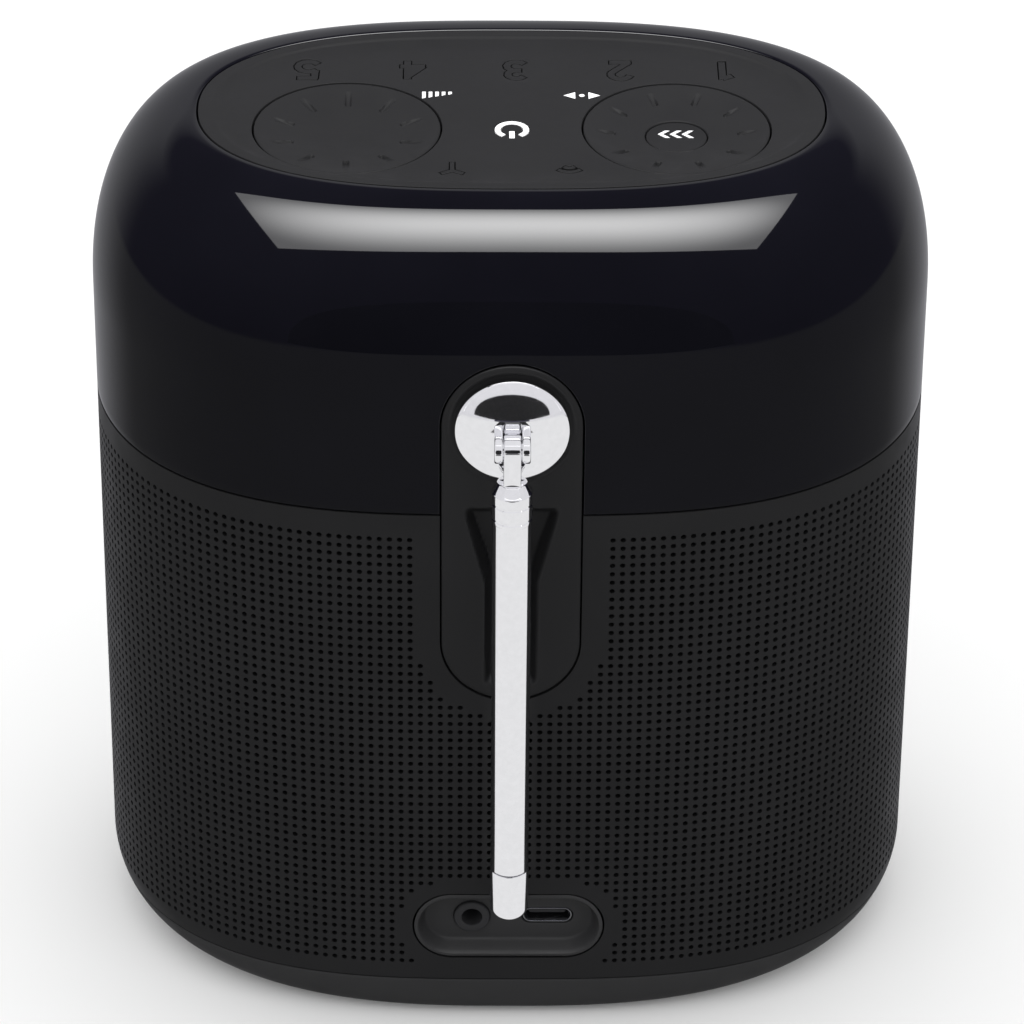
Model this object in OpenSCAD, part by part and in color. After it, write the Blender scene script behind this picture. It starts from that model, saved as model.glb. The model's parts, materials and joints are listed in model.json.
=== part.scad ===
// Tabletop radio with a telescopic rear antenna.
// Millimetres. +Z up, front towards -Y, rear towards +Y.
// The origin is at the centre of the plan, on the surface that the foot mat stands on.

/* [Body] */
// Width of the body at its waist
body_w = 147.6; // [146:0.1:150]
// Depth of the body at its waist
body_d = 95.2; // [94.8:0.1:97]
// Height of the rim round the control panel
body_h = 163.6; // [163:0.1:168]
// Squareness of the plan along its width
plan_square_x = 3.13; // [2.9:0.01:3.5]
// Squareness of the plan along its depth
plan_square_y = 1.98; // [1.9:0.01:2.4]
// Thickness of the glossy upper shell
shell_wall = 2.4; // [2:0.1:2.6]
// Thickness of the perforated grille sheet
grille_wall = 1.2; // [0.8:0.1:1.4]

/* [Seams] */
// Height that the rubber foot mat stands out under the base cover
foot_h = 1.2; // [0.8:0.1:1.6]
// Seam between the base cover and the grille
base_seam_z = 9.5; // [9.2:0.1:10]
// Seam between the grille and the upper shell
band_seam_z = 109.8; // [109.6:0.1:110.2]
// Height where the upper shell starts to curve inwards
shoulder_z = 131; // [129:0.1:133]
// Gap left open at each seam
seam_gap = 0.3; // [0.2:0.05:0.4]

/* [Control panel] */
// Width of the control panel
panel_w = 109.2; // [108.6:0.1:110]
// Depth of the control panel
panel_d = 57.4; // [57:0.1:58.5]
// Depth of the panel's dish below its rim
panel_dish = 0.6; // [0.4:0.1:0.8]
// Radius of the volume and tuning dials
dial_r = 16.15; // [15.8:0.05:16.2]
// Depth of the hollow in a dial's top
dial_hollow = 1.8; // [1.4:0.1:2]
// Distance of each dial's axis from the centre line
dial_x = 28.5; // [28:0.1:29]
// Distance of the dial axes behind the centre of the plan
dial_y = 6.3; // [6:0.1:6.6]
// Travel of the keys
key_travel = 0.4; // [0.3:0.05:0.4]
// Gap round each key and dial
key_gap = 0.18; // [0.15:0.01:0.2]
// Spacing of the five station keys
preset_pitch = 18.35; // [18:0.05:18.6]

/* [Antenna] */
// Height of the swivel axis
swivel_z = 127.5; // [127:0.1:128]
// Radius of the swivel's dome
dome_r = 9.85; // [9.5:0.05:10]
// Distance from the rear face to the hinge pin
pin_reach = 6.4; // [6.2:0.1:7]
// Outer radius of the outermost tube
tube_r = 3.375; // [3.3:0.005:3.4]
// Wall of each tube
tube_wall = 0.35; // [0.3:0.01:0.36]
// Lower end of the outermost tube
tube_end_z = 39.9; // [38:0.1:42]
// Lowest point of the tip
tip_z = 29.4; // [28:0.1:31]

/* [Rear plate and ports] */
// Width of the rear plate
plate_w = 24.3; // [24:0.1:25]
// Lowest point of the rear plate
plate_bottom_z = 71.3; // [70:0.1:72]
// Width of the port recess
recess_w = 34.3; // [34:0.1:35]
// Height of the port recess
recess_h = 14; // [14:0.1:14.4]
// Height of the port recess's centre
recess_z = 21.65; // [21.4:0.05:22]
// Depth of the port recess
recess_depth = 3.2; // [2.8:0.1:3.4]
// Distance of the audio jack from the centre line
aux_x = 6.6; // [6.4:0.1:6.8]
// Distance of the charging socket from the centre line
usb_x = 7.05; // [7:0.05:7.2]

/* [Hidden] */
$fn = 96;

// Plan outline: a rounded oval that is squarer along its width
plan_a = body_w / 2;
plan_b = body_d / 2;
panel_a = panel_w / 2;
panel_b = panel_d / 2;
panel_square = [2.72, 2.22];
base_a = plan_a - 9.95;
base_b = plan_b - 3.2;
base_square = [2.62, 1.99];
plan_square = [plan_square_x, plan_square_y];
loft_points = 64;
wall_points = 96;
shoulder_power = [2.15, 2.18];
base_power = 1.6;

// Levels
panel_top = body_h - panel_dish;
panel_under = panel_top - 3.6;
board_top = 153.6;
board_t = 1.6;
rear_y = plan_b;
box_front = -36;
box_rear = 34;
box_bottom = 36;
box_top = 100;
box_wall = 2.4;
woofer_z = 68;
plate_under = 42.6;
arch_r = plate_w / 2;
running = 0.05;
pin_y = rear_y + pin_reach;
knuckle_top = swivel_z - 7.6;
screw_xy = [30, 27];
shell_screw_xy = [61.6, 12];
board_post_xy = [46, 26];
pin_r = 0.8;
window_half = 33;
window_z = [113, 130];
panel_screw_xy = [[-47, 0], [0, -5], [47, 0]];
foot_size = [52, 34];
scan_stem_z = 156.05;
section_gap = 0.05;
section_step = tube_wall + section_gap;

function signed_power(v, p) = sign(v) * pow(abs(v), p);
function oval_point(a, b, square, t) =
    [a * signed_power(cos(t), 2 / square[0]), b * signed_power(sin(t), 2 / square[1])];
function oval(a, b, square, count) =
    [for (i = [0:count - 1]) oval_point(a, b, square, 360 * i / count)];
// One level of a loft: part way, k, from the outline size_0 to the outline size_1
function loft_ring(size_0, square_0, size_1, square_1, k, z) =
    [for (i = [0:loft_points - 1])
        let (t = 360 * i / loft_points,
             p = oval_point(size_0[0], size_0[1], square_0, t),
             q = oval_point(size_1[0], size_1[1], square_1, t))
        [p[0] + (q[0] - p[0]) * k, p[1] + (q[1] - p[1]) * k, z]];

module loft(rings) {
    n = len(rings[0]);
    levels = len(rings);
    points = [for (ring = rings) each ring];
    sides = [for (j = [0:levels - 2]) for (i = [0:n - 1])
        [j * n + i, j * n + (i + 1) % n, (j + 1) * n + (i + 1) % n, (j + 1) * n + i]];
    bottom = [for (i = [0:n - 1]) n - 1 - i];
    top = [for (i = [0:n - 1]) (levels - 1) * n + i];
    outward = [for (f = concat([bottom], sides, [top])) [for (k = [len(f) - 1:-1:0]) f[k]]];
    polyhedron(points = points, faces = outward);
}

// Solid of the upper shell, inset all round
module shell_solid(inset, bottom, steps) {
    size = [plan_a - inset, plan_b - inset];
    top_size = [panel_a - inset * 0.4, panel_b - inset * 0.4];
    rise = body_h - inset - shoulder_z;
    loft(concat(
        [loft_ring(size, plan_square, top_size, panel_square, 0, bottom)],
        [for (i = [0:steps])
            let (t = 90 * i / steps)
            loft_ring(size, plan_square, top_size, panel_square,
                      1 - pow(cos(t), 2 / shoulder_power[0]),
                      shoulder_z + rise * pow(sin(t), 2 / shoulder_power[1]))]));
}

// Solid of the base cover: tucks in under the grille
module base_solid(inset, bottom, steps) {
    size = [plan_a - inset, plan_b - inset];
    low_size = [base_a - inset, base_b - inset];
    drop = base_seam_z - bottom;
    loft([for (i = [0:steps])
        let (w = cos(90 * i / steps), k = 1 - pow(1 - pow(w, base_power), 1 / base_power))
        loft_ring(size, plan_square, low_size, base_square, k, base_seam_z - drop * w)]);
}

module plan_slab(inset, low, high) {
    translate([0, 0, low])
        linear_extrude(high - low)
            polygon(oval(plan_a - inset, plan_b - inset, plan_square, wall_points));
}

module panel_slab(inset, low, high) {
    translate([0, 0, low])
        linear_extrude(high - low)
            polygon(oval(panel_a - inset, panel_b - inset, panel_square, wall_points));
}

// Upright stadium in the X-Z plane, from y_low to y_high
module upright_stadium(width, low, high, y_low, y_high) {
    r = width / 2;
    translate([0, y_high, 0]) rotate([90, 0, 0]) linear_extrude(y_high - y_low) {
        translate([0, low + r]) circle(r);
        translate([0, high - r]) circle(r);
        translate([-r, low + r]) square([width, high - low - width]);
    }
}

// Flat-lying stadium in the X-Z plane, centred on x = 0
module level_stadium(width, height, z, y_low, y_high) {
    r = height / 2;
    half = width / 2 - r;
    translate([0, y_high, z]) rotate([90, 0, 0]) linear_extrude(y_high - y_low) {
        translate([-half, 0]) circle(r);
        translate([half, 0]) circle(r);
        translate([-half, -r]) square([2 * half, height]);
    }
}

module block(low, high) {
    translate(low) cube(high - low);
}

module rod_y(r, y_low, y_high) {
    translate([0, y_high, 0]) rotate([90, 0, 0]) cylinder(r = r, h = y_high - y_low);
}

module tube_z(r_out, r_in, low, high) {
    difference() {
        translate([0, 0, low]) cylinder(r = r_out, h = high - low);
        translate([0, 0, low - 1]) cylinder(r = r_in, h = high - low + 2);
    }
}

module four(xy) {
    for (sx = [-1, 1]) for (sy = [-1, 1]) translate([sx * xy[0], sy * xy[1], 0]) children();
}

// Strokes of the key symbols: a band of even width along a path of points
function unit(v) = v / norm(v);
function side_of(v) = [-v[1], v[0]];
function corner_side(path, i) =
    let (n = len(path),
         before = unit(path[max(i, 1)] - path[max(i, 1) - 1]),
         after = unit(path[min(i, n - 2) + 1] - path[min(i, n - 2)]),
         mean = unit(side_of(before) + side_of(after)))
    mean / max(0.5, mean * side_of(after));
function lengthen(path, extra) =
    let (n = len(path))
    [for (i = [0:n - 1])
        i == 0 ? path[0] - unit(path[1] - path[0]) * extra
        : i == n - 1 ? path[i] + unit(path[i] - path[i - 1]) * extra
        : path[i]];
function arc_path(centre, r, from, to, steps) =
    [for (i = [0:steps]) let (t = from + (to - from) * i / steps) centre + r * [cos(t), sin(t)]];

module stroke(path, width, grow) {
    long = lengthen(path, grow);
    half = width / 2 + grow;
    polygon(concat(
        [for (i = [0:len(long) - 1]) long[i] + corner_side(long, i) * half],
        [for (i = [len(long) - 1:-1:0]) long[i] - corner_side(long, i) * half]));
}

digit_w = 1.25;
module digit(n, grow) {
    if (n == 1) {
        stroke([[0.4, 3.2], [0.4, -3.2]], digit_w, grow);
        stroke([[-1.3, 2], [0.45, 2.9]], digit_w, grow);
    }
    if (n == 2) {
        stroke(arc_path([0, 1.5], 1.7, 165, -35, 8), digit_w, grow);
        stroke([[1.5, 0.75], [-1.4, -2.8]], digit_w, grow);
        stroke([[-1.9, -3], [1.9, -3]], digit_w, grow);
    }
    if (n == 3) {
        stroke(concat(arc_path([0, 1.6], 1.5, 150, -80, 8), [[-0.9, 0.1]]), digit_w, grow);
        stroke(concat([[-0.9, 0.13]], arc_path([0, -1.5], 1.65, 80, -150, 8)), digit_w, grow);
    }
    if (n == 4) {
        stroke([[0.8, -3.3], [0.8, 3.3]], digit_w, grow);
        stroke([[0.9, 2.7], [-1.9, -1.2]], digit_w, grow);
        stroke([[-2.3, -1.35], [2.1, -1.35]], digit_w, grow);
        polygon([[0.7, 2.3], [-1.5, -1.2], [0.7, -1.2]]);
    }
    if (n == 5) {
        stroke([[-1.7, 3.05], [1.8, 3.05]], digit_w, grow);
        stroke([[-1.2, 3.3], [-1.35, 0.2]], digit_w, grow);
        stroke(arc_path([-0.1, -1.15], 1.9, 138, -150, 10), digit_w, grow);
    }
}

symbol_w = 1.0;
module power_symbol(grow) {
    stroke(arc_path([0, 0], 2.5, 125, 415, 18), symbol_w, grow);
    stroke([[0, 0.6], [0, 3]], symbol_w, grow);
}

module band_symbol(grow) {
    stroke([[0, -2], [0, 0.9]], 0.8, grow);
    stroke([[-1.9, 2], [0, 0.9], [1.9, 2]], 0.8, grow);
}

module wireless_symbol(grow) {
    for (r = [0.9, 2.3]) stroke(arc_path([0, -1.4], r + 0.4, 45, 135, 6), 0.8, grow);
}

preset_x = [for (i = [0:4]) 35.8 - preset_pitch * (4 - i)];
preset_y = -14.9;
power_xy = [0, 6.8];
band_xy = [10.3, 20.4];
wireless_xy = [-9.7, 20.4];
scan_r = 5.3;
scan_t = 0.65;
scan_under = panel_top - dial_hollow + 0.05 - scan_t;

module key_pad(xy, size) {
    stem_r = 1;
    translate([xy[0], xy[1], 0]) {
        block([-size[0] / 2, -size[1] / 2, panel_under - 1],
              [size[0] / 2, size[1] / 2, panel_under - 0.2]);
        translate([0, 0, scan_stem_z]) cylinder(r = stem_r, h = panel_under - 0.6 - scan_stem_z);
    }
}

module key_top(xy) {
    translate([xy[0], xy[1], panel_under - 0.6]) linear_extrude(panel_dish + 3.6) children();
}

module key_window(xy) {
    translate([xy[0], xy[1], panel_under - 1]) linear_extrude(6) children();
}

module preset_key(n) {
    key_pad([preset_x[n - 1], preset_y], [6, 8.4]);
    key_top([preset_x[n - 1], preset_y]) digit(n, 0);
}

// ---- Upper shell and control panel ----

module top_shell() color("#0b0b12") {
    difference() {
        union() {
            difference() {
                shell_solid(0, band_seam_z + seam_gap / 2, 12);
                shell_solid(shell_wall, band_seam_z - 2, 10);
            }
            intersection() {
                four(shell_screw_xy) translate([0, 0, 103.4]) cylinder(r = 3.4, h = 26);
                plan_slab(1.4, 103.4, 129.4);
            }
            for (sx = [-1, 1]) for (sy = [-1, 1])
                block([sx > 0 ? 64 : -71.6, sy * shell_screw_xy[1] - 0.9, 112],
                      [sx > 0 ? 71.6 : -64, sy * shell_screw_xy[1] + 0.9, 128]);
        }
        panel_slab(-0.15, panel_under, body_h + 1);
        panel_slab(2.6, panel_under - 6, body_h + 1);
        upright_stadium(plate_w + 0.4, plate_bottom_z - 0.2, swivel_z + arch_r + 0.2, 30, rear_y + 5);
        block([-window_half - 0.2, -60, window_z[0] - 0.2], [window_half + 0.2, -38, window_z[1] + 0.2]);
        four(shell_screw_xy) translate([0, 0, 102]) cylinder(r = 1.25, h = 16);
    }
}

module dial_well(x) {
    translate([x, dial_y, panel_under]) cylinder(r = dial_r + 0.2, h = 10);
}

module top_panel() color("#3a3a3d") {
    difference() {
        union() {
            panel_slab(0, panel_under, body_h);
            for (x = [-dial_x, dial_x]) translate([x, dial_y, panel_under - 1.4]) cylinder(r = 17.3, h = 2);
            for (p = panel_screw_xy) translate([p[0], p[1], board_top + 0.1])
                cylinder(r = 2.2, h = panel_under + 0.5 - board_top);
        }
        panel_slab(2.3, panel_top, body_h + 1);
        for (x = [-dial_x, dial_x]) dial_well(x);
        translate([dial_x, dial_y, panel_under - 3]) cylinder(r = 3.6, h = 6);
        translate([-dial_x, dial_y, panel_under - 3]) cylinder(r = 5.2, h = 6);
        for (n = [1:5]) key_window([preset_x[n - 1], preset_y]) digit(n, key_gap);
        key_window(power_xy) power_symbol(key_gap);
        key_window(band_xy) band_symbol(key_gap);
        key_window(wireless_xy) wireless_symbol(key_gap);
        for (p = panel_screw_xy) translate([p[0], p[1], board_top - 1]) cylinder(r = 0.9, h = 6);
    }
}

// Flat disc with a hollowed top and ten radial finger grooves
module dial_body(groove_from, groove_to, turn) {
    floor_z = panel_under + 0.3;
    ball_r = (dial_r * dial_r + dial_hollow * dial_hollow) / (2 * dial_hollow);
    groove_r = 0.55;
    difference() {
        translate([0, 0, floor_z]) cylinder(r = dial_r, h = panel_top - floor_z);
        translate([0, 0, panel_top - dial_hollow + ball_r]) sphere(r = ball_r, $fn = 180);
        for (i = [0:9]) rotate([0, 0, turn + 36 * i])
            translate([groove_from, 0, panel_top - dial_hollow + 0.75]) rotate([0, 84, 0])
                cylinder(r = groove_r, h = groove_to - groove_from, $fn = 24);
    }
}

module volume_dial() color("#38383b") translate([dial_x, dial_y, 0]) {
    dial_body(dial_r * 0.6, dial_r * 0.86, 90);
    difference() {
        translate([0, 0, 154.6]) cylinder(r = 3, h = panel_under + 0.5 - 154.6);
        translate([0, 0, 154]) cylinder(r = 1, h = 3);
    }
}

module tune_dial() color("#38383b") translate([-dial_x, dial_y, 0]) {
    difference() {
        union() {
            dial_body(dial_r * 0.65, dial_r * 0.86, 0);
            translate([0, 0, 154.6]) cylinder(r = 4.4, h = panel_under + 0.6 - 154.6);
        }
        translate([0, 0, scan_under - key_travel - 0.1]) cylinder(r = scan_r + key_gap, h = 6);
        translate([0, 0, 154]) cylinder(r = 2.4, h = 8);
    }
}

module scan_button() color("#38383b") translate([-dial_x, dial_y, 0]) {
    translate([0, 0, scan_under]) cylinder(r = scan_r, h = scan_t);
    translate([0, 0, scan_stem_z]) cylinder(r = 1.6, h = scan_under + 0.2 - scan_stem_z);
}

module power_key() color("white") {
    key_pad(power_xy, [7, 7]);
    key_top(power_xy) power_symbol(0);
}

module preset_key_1() color("#333336") preset_key(1);
module preset_key_2() color("#333336") preset_key(2);
module preset_key_3() color("#333336") preset_key(3);
module preset_key_4() color("#333336") preset_key(4);
module preset_key_5() color("#333336") preset_key(5);

module band_key() color("#333336") {
    key_pad(band_xy, [6, 5.6]);
    key_top(band_xy) band_symbol(0);
}

module wireless_key() color("#333336") {
    key_pad(wireless_xy, [6, 5.6]);
    key_top(wireless_xy) wireless_symbol(0);
}

module control_board() color("#1d5a36") {
    difference() {
        block([-52, -20.5, board_top - board_t], [52, 25, board_top]);
        for (p = panel_screw_xy) translate([p[0], p[1], board_top - 4]) cylinder(r = 1.1, h = 6);
    }
}

module tact_switches() color("#2a2a2a") {
    places = concat([for (x = preset_x) [x, preset_y]],
                    [power_xy, band_xy, wireless_xy, [-dial_x, dial_y]]);
    for (p = places) translate([p[0], p[1], 0]) {
        half = p[0] == -dial_x ? 1.5 : 2.25;
        block([-half, -half, board_top], [half, half, board_top + 1.5]);
        translate([0, 0, board_top + 1.4])
            cylinder(r = 0.9, h = scan_stem_z - key_travel - board_top - 1.45);
    }
}

module volume_encoder() color("#9a9a9a") translate([dial_x, dial_y, 0])
    tube_z(6.5, 3 + running, board_top, panel_under - 1.7);

module tune_encoder() color("#9a9a9a") translate([-dial_x, dial_y, 0])
    tube_z(7, 4.4 + running, board_top, panel_under - 1.7);

module panel_screws() color("silver") {
    for (p = panel_screw_xy) translate([p[0], p[1], 0]) {
        translate([0, 0, board_top - board_t - 1.5]) cylinder(r = 2, h = 1.5);
        translate([0, 0, board_top - board_t - 0.1]) cylinder(r = 0.88, h = 5);
    }
}

module display_window() color("#07070c") {
    intersection() {
        difference() {
            plan_slab(0.02, window_z[0], window_z[1]);
            plan_slab(shell_wall, window_z[0] - 1, window_z[1] + 1);
        }
        block([-window_half, -60, window_z[0] - 1], [window_half, -38, window_z[1] + 1]);
    }
}

module display_module() color("#24302c") {
    block([-30, -42.2, window_z[0]], [30, -38.6, window_z[1]]);
    block([-32, -38.6, 111.4], [32, -37, 131]);
}

// ---- Chassis and electronics ----

module chassis_plate() color("#202022") {
    difference() {
        union() {
            plan_slab(grille_wall + 0.8, box_top + 0.2, box_top + 3.2);
            four(board_post_xy) translate([0, 0, box_top + 3]) cylinder(r = 2.6, h = 3);
        }
        four(shell_screw_xy) translate([0, 0, box_top - 1]) cylinder(r = 1.7, h = 6);
        four(board_post_xy) translate([0, 0, box_top + 2]) cylinder(r = 1, h = 6);
        block([-20, 34.4, box_top - 1], [20, 60, box_top + 5]);
    }
}

module main_board() color("#1d5a36") {
    difference() {
        block([-52, -31, box_top + 6.1], [52, 30, box_top + 7.7]);
        four(board_post_xy) translate([0, 0, box_top + 5]) cylinder(r = 1.3, h = 4);
    }
}

module on_main_board(x, y, size) {
    low = box_top + 7.75;
    block([x - size[0] / 2, y - size[1] / 2, low],
          [x + size[0] / 2, y + size[1] / 2, low + size[2]]);
}

module tuner_can() color("silver") on_main_board(28, 6, [26, 20, 4]);
module wireless_module() color("#20463a") on_main_board(-34, 14, [16, 12, 2.4]);

module amplifier_heatsink() color("#8c8f92") {
    on_main_board(-6, -10, [26, 18, 2]);
    for (i = [0:5]) on_main_board(-16.5 + 4.2 * i, -10, [1.2, 18, 9]);
}

module capacitors() color("#30343c") {
    for (i = [0:3]) translate([-44 + 11 * (i % 2), -24 + 11 * floor(i / 2), box_top + 7.75])
        cylinder(r = 4, h = 11);
}

module driver_axis() {
    translate([0, 0, woofer_z]) rotate([-90, 0, 0]) children();
}

module speaker_box() color("#242426") {
    difference() {
        union() {
            intersection() {
                plan_slab(4.6, box_bottom, box_top);
                block([-80, box_front, box_bottom], [80, box_rear, box_top]);
            }
            four(screw_xy) translate([0, 0, 11.8]) cylinder(r = 3.6, h = box_bottom - 11);
        }
        intersection() {
            plan_slab(4.6 + box_wall, box_bottom + box_wall, box_top + 1);
            block([-80, box_front + box_wall, box_bottom], [80, box_rear - box_wall, box_top + 1]);
        }
        translate([0, 0, woofer_z]) rod_y(27, box_front - 1, box_front + 6);
        translate([0, 0, woofer_z]) rod_y(22, box_rear - 6, box_rear + 1);
        four(screw_xy) translate([0, 0, 10]) cylinder(r = 1.25, h = 16);
    }
}

module box_gasket() color("#111111") {
    intersection() {
        difference() {
            plan_slab(4.9, box_top, box_top + 0.2);
            intersection() {
                plan_slab(6.6, box_top - 1, box_top + 1);
                block([-80, box_front + 2, box_top - 2], [80, box_rear - 2, box_top + 2]);
            }
        }
        block([-80, box_front + 0.3, box_top - 1], [80, box_rear - 0.3, box_top + 1]);
    }
}

// Profiles of the driver: radius against depth behind the baffle
module woofer_basket() color("#2b2b2d") driver_axis() rotate_extrude() translate([0, box_front])
    polygon([[26.6, -2], [31, -2], [31, 0], [26.8, 0], [26.8, 4], [18.5, 17.5], [18.5, 19.5],
             [10, 19.5], [10, 18], [17, 18], [17, 17], [25.4, 3.6], [25.4, 0.8], [26.6, 0.8]]);

module woofer_magnet() color("#4a4a4c") driver_axis() rotate_extrude() translate([0, box_front])
    polygon([[8, 19.6], [20, 19.6], [20, 31], [0, 31], [0, 19.6], [6.3, 19.6], [6.3, 28.5], [8, 28.5]]);

module woofer_surround() color("#151515") driver_axis() rotate_extrude() translate([0, box_front])
    polygon(concat(arc_path([24.1, 0.3], 2.45, 180, 360, 14), arc_path([24.1, 0.3], 1.95, 360, 180, 12)));

module woofer_spider() color("#8a6a3a") driver_axis() rotate_extrude() translate([0, box_front])
    polygon([[8.1, 15.2], [16.6, 15.2], [16.6, 15.8], [8.1, 15.8]]);

module woofer_cone() color("#1b1b1c") driver_axis() rotate_extrude() translate([0, box_front])
    polygon([[21, -0.2], [21, 0.6], [8, 9.4], [7.42, 9.4], [7.42, 8.6], [20.2, -0.2]]);

module dust_cap() color("#222223") driver_axis() rotate_extrude() translate([0, box_front])
    polygon(concat([[0, 3.9]], arc_path([0, 16], 12.1, -90, -49, 8), [[8, 7.7], [7.1, 7.9]],
                   arc_path([0, 16], 11.5, -50, -90, 8)));

module voice_coil() color("#b36a2c") driver_axis() rotate_extrude() translate([0, box_front])
    polygon([[6.8, 8.4], [7.4, 8.4], [7.4, 24.5], [6.8, 24.5]]);

module radiator_frame() color("#2b2b2d") driver_axis() rotate_extrude() translate([0, box_rear])
    polygon([[21.6, -2.6], [21.6, 0], [26, 0], [26, 1.6], [19.8, 1.6], [19.8, -2.6]]);

module radiator_surround() color("#151515") driver_axis() rotate_extrude() translate([0, box_rear])
    polygon(concat(arc_path([17.6, 0.2], 1.9, 180, 0, 14), arc_path([17.6, 0.2], 1.4, 0, 180, 12)));

module radiator_diaphragm() color("#1b1b1c")
    translate([0, 0, woofer_z]) rod_y(15.2, box_rear - 1, box_rear + 1);

// ---- Grille, base and battery ----

module grille() color("#232325") {
    difference() {
        plan_slab(0, base_seam_z + seam_gap / 2, band_seam_z - seam_gap / 2);
        plan_slab(grille_wall, base_seam_z - 1, band_seam_z + 1);
        upright_stadium(plate_w + 0.4, plate_bottom_z - 0.2, swivel_z + arch_r, 30, rear_y + 5);
        level_stadium(recess_w + 0.4, recess_h + 0.4, recess_z, 30, rear_y + 5);
    }
}

module base_cover() color("#1e1e20") {
    difference() {
        union() {
            difference() {
                base_solid(0, foot_h, 8);
                base_solid(2.2, foot_h + 2.2, 6);
                plan_slab(2.2, base_seam_z - 0.01, base_seam_z + 2);
            }
            four(screw_xy) translate([0, 0, foot_h + 1]) cylinder(r = 3.6, h = 10.4 - foot_h);
            difference() {
                plan_slab(grille_wall + 0.25, 7.5, 11.4);
                plan_slab(grille_wall + 1.6, 6, 12);
            }
        }
        four(screw_xy) translate([0, 0, -1]) cylinder(r = 1.7, h = 20);
        four(screw_xy) translate([0, 0, -1]) cylinder(r = 3.1, h = foot_h + 4.2);
        translate([0, 0, -1]) linear_extrude(foot_h + 1.6)
            polygon(oval(foot_size[0] + 0.1, foot_size[1] + 0.1, base_square, wall_points));
        level_stadium(recess_w + 3.2, recess_h + 3.2, recess_z, 30, rear_y - 0.3);
    }
}

module foot_mat() color("#101010")
    linear_extrude(foot_h + 0.6) polygon(oval(foot_size[0], foot_size[1], base_square, wall_points));

module base_screws() color("silver") four(screw_xy) {
    translate([0, 0, foot_h + 1.15]) cylinder(r = 2.8, h = 2);
    translate([0, 0, foot_h + 3]) cylinder(r = 1.23, h = 20);
}

module shell_screws() color("silver") four(shell_screw_xy) {
    translate([0, 0, box_top - 1.7]) cylinder(r = 2.8, h = 1.9);
    translate([0, 0, box_top + 0.1]) cylinder(r = 1.23, h = 14);
}

cell_r = 9.2;
cell_y = [-10.5, 8.5];
cell_z = 16.5 + cell_r;
module battery_cells() color("#3d6f9e")
    for (y = cell_y) translate([-32.5, y, cell_z]) rotate([0, 90, 0])
        cylinder(r = cell_r, h = 65);

module battery_tray() color("#2c2c2e") {
    difference() {
        block([-36, -21.5, 12], [36, 19.5, 24]);
        for (y = cell_y) translate([-33.5, y, cell_z]) rotate([0, 90, 0])
            cylinder(r = cell_r + 0.2, h = 67);
        block([-33.5, -19.5, 20], [33.5, 17.5, 30]);
        block([-40, -2.6, 20], [40, 0.6, 30]);
    }
    four([26, 12]) translate([0, 0, foot_h + 2.3]) cylinder(r = 2.5, h = 9);
}

// ---- Ports ----

module port_bezel() color("#28282a") {
    floor_y = rear_y - recess_depth;
    difference() {
        union() {
            level_stadium(recess_w, recess_h, recess_z, floor_y - 1.6, rear_y);
            level_stadium(recess_w + 2.6, recess_h + 2.6, recess_z,
                          floor_y - 1.6, rear_y - grille_wall - 0.6);
        }
        level_stadium(recess_w - 2.4, recess_h - 2.4, recess_z, floor_y, rear_y + 1);
        translate([aux_x, 0, recess_z]) rod_y(3.3, floor_y - 5, rear_y);
        translate([-usb_x, 0, recess_z]) level_stadium(9.4, 3.5, 0, floor_y - 5, rear_y);
    }
}

module aux_jack() color("#1a1a1c") translate([aux_x, 0, recess_z]) {
    floor_y = rear_y - recess_depth;
    difference() {
        union() {
            rod_y(3.25, floor_y - 2, floor_y + 0.6);
            block([-4, floor_y - 12.8, -3.6], [4, floor_y - 1.65, 3.6]);
        }
        rod_y(1.8, floor_y - 11.5, floor_y + 2);
    }
}

module usb_socket() color("#b9bcc0") translate([-usb_x, 0, recess_z]) {
    floor_y = rear_y - recess_depth;
    difference() {
        level_stadium(8.94, 3.16, 0, floor_y - 7.3, floor_y - 0.1);
        level_stadium(8.34, 2.56, 0, floor_y - 6.2, floor_y + 1);
    }
    block([-3.35, floor_y - 6.4, -0.35], [3.35, floor_y - 1.2, 0.35]);
}

module port_board() color("#1d5a36") {
    block([-17, 29.8, 13.6], [17, 31.4, 29.6]);
    block([-usb_x - 3, 31.3, recess_z - 1.2], [-usb_x + 3, rear_y - recess_depth - 7.32, recess_z + 1.2]);
}

// ---- Rear plate and antenna ----

module rear_plate() color("#2c2c2f") {
    scoop_top = 111.2;
    scoop_neck = 96;
    scoop_low = 74.6;
    difference() {
        union() {
            upright_stadium(plate_w, plate_bottom_z, swivel_z + arch_r, rear_y - 3.2, rear_y);
            block([-10.2, 39.8, 92], [10.2, rear_y - 1, scoop_top + 2]);
            block([-6.4, 41, scoop_low - 2], [6.4, rear_y - 1, 93]);
            translate([0, 0, swivel_z]) rod_y(7, plate_under, rear_y - 1);
        }
        translate([0, 0, swivel_z]) rod_y(2.9 + running, 30, rear_y + 5);
        translate([0, rear_y + 1, 0]) rotate([90, 0, 0]) linear_extrude(6.4)
            polygon([[-8.3, scoop_top], [8.3, scoop_top], [4.4, scoop_neck], [-4.4, scoop_neck]]);
        translate([0, rear_y + 1, 0]) rotate([90, 0, 0]) linear_extrude(5)
            polygon([[-4.4, scoop_neck + 0.01], [4.4, scoop_neck + 0.01], [4.4, 84], [-4.4, 84]]);
        translate([0, rear_y + 1, 0]) rotate([90, 0, 0]) linear_extrude(3)
            polygon([[-4.4, 84.01], [4.4, 84.01], [4.4, scoop_low], [-4.4, scoop_low]]);
    }
}

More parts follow.
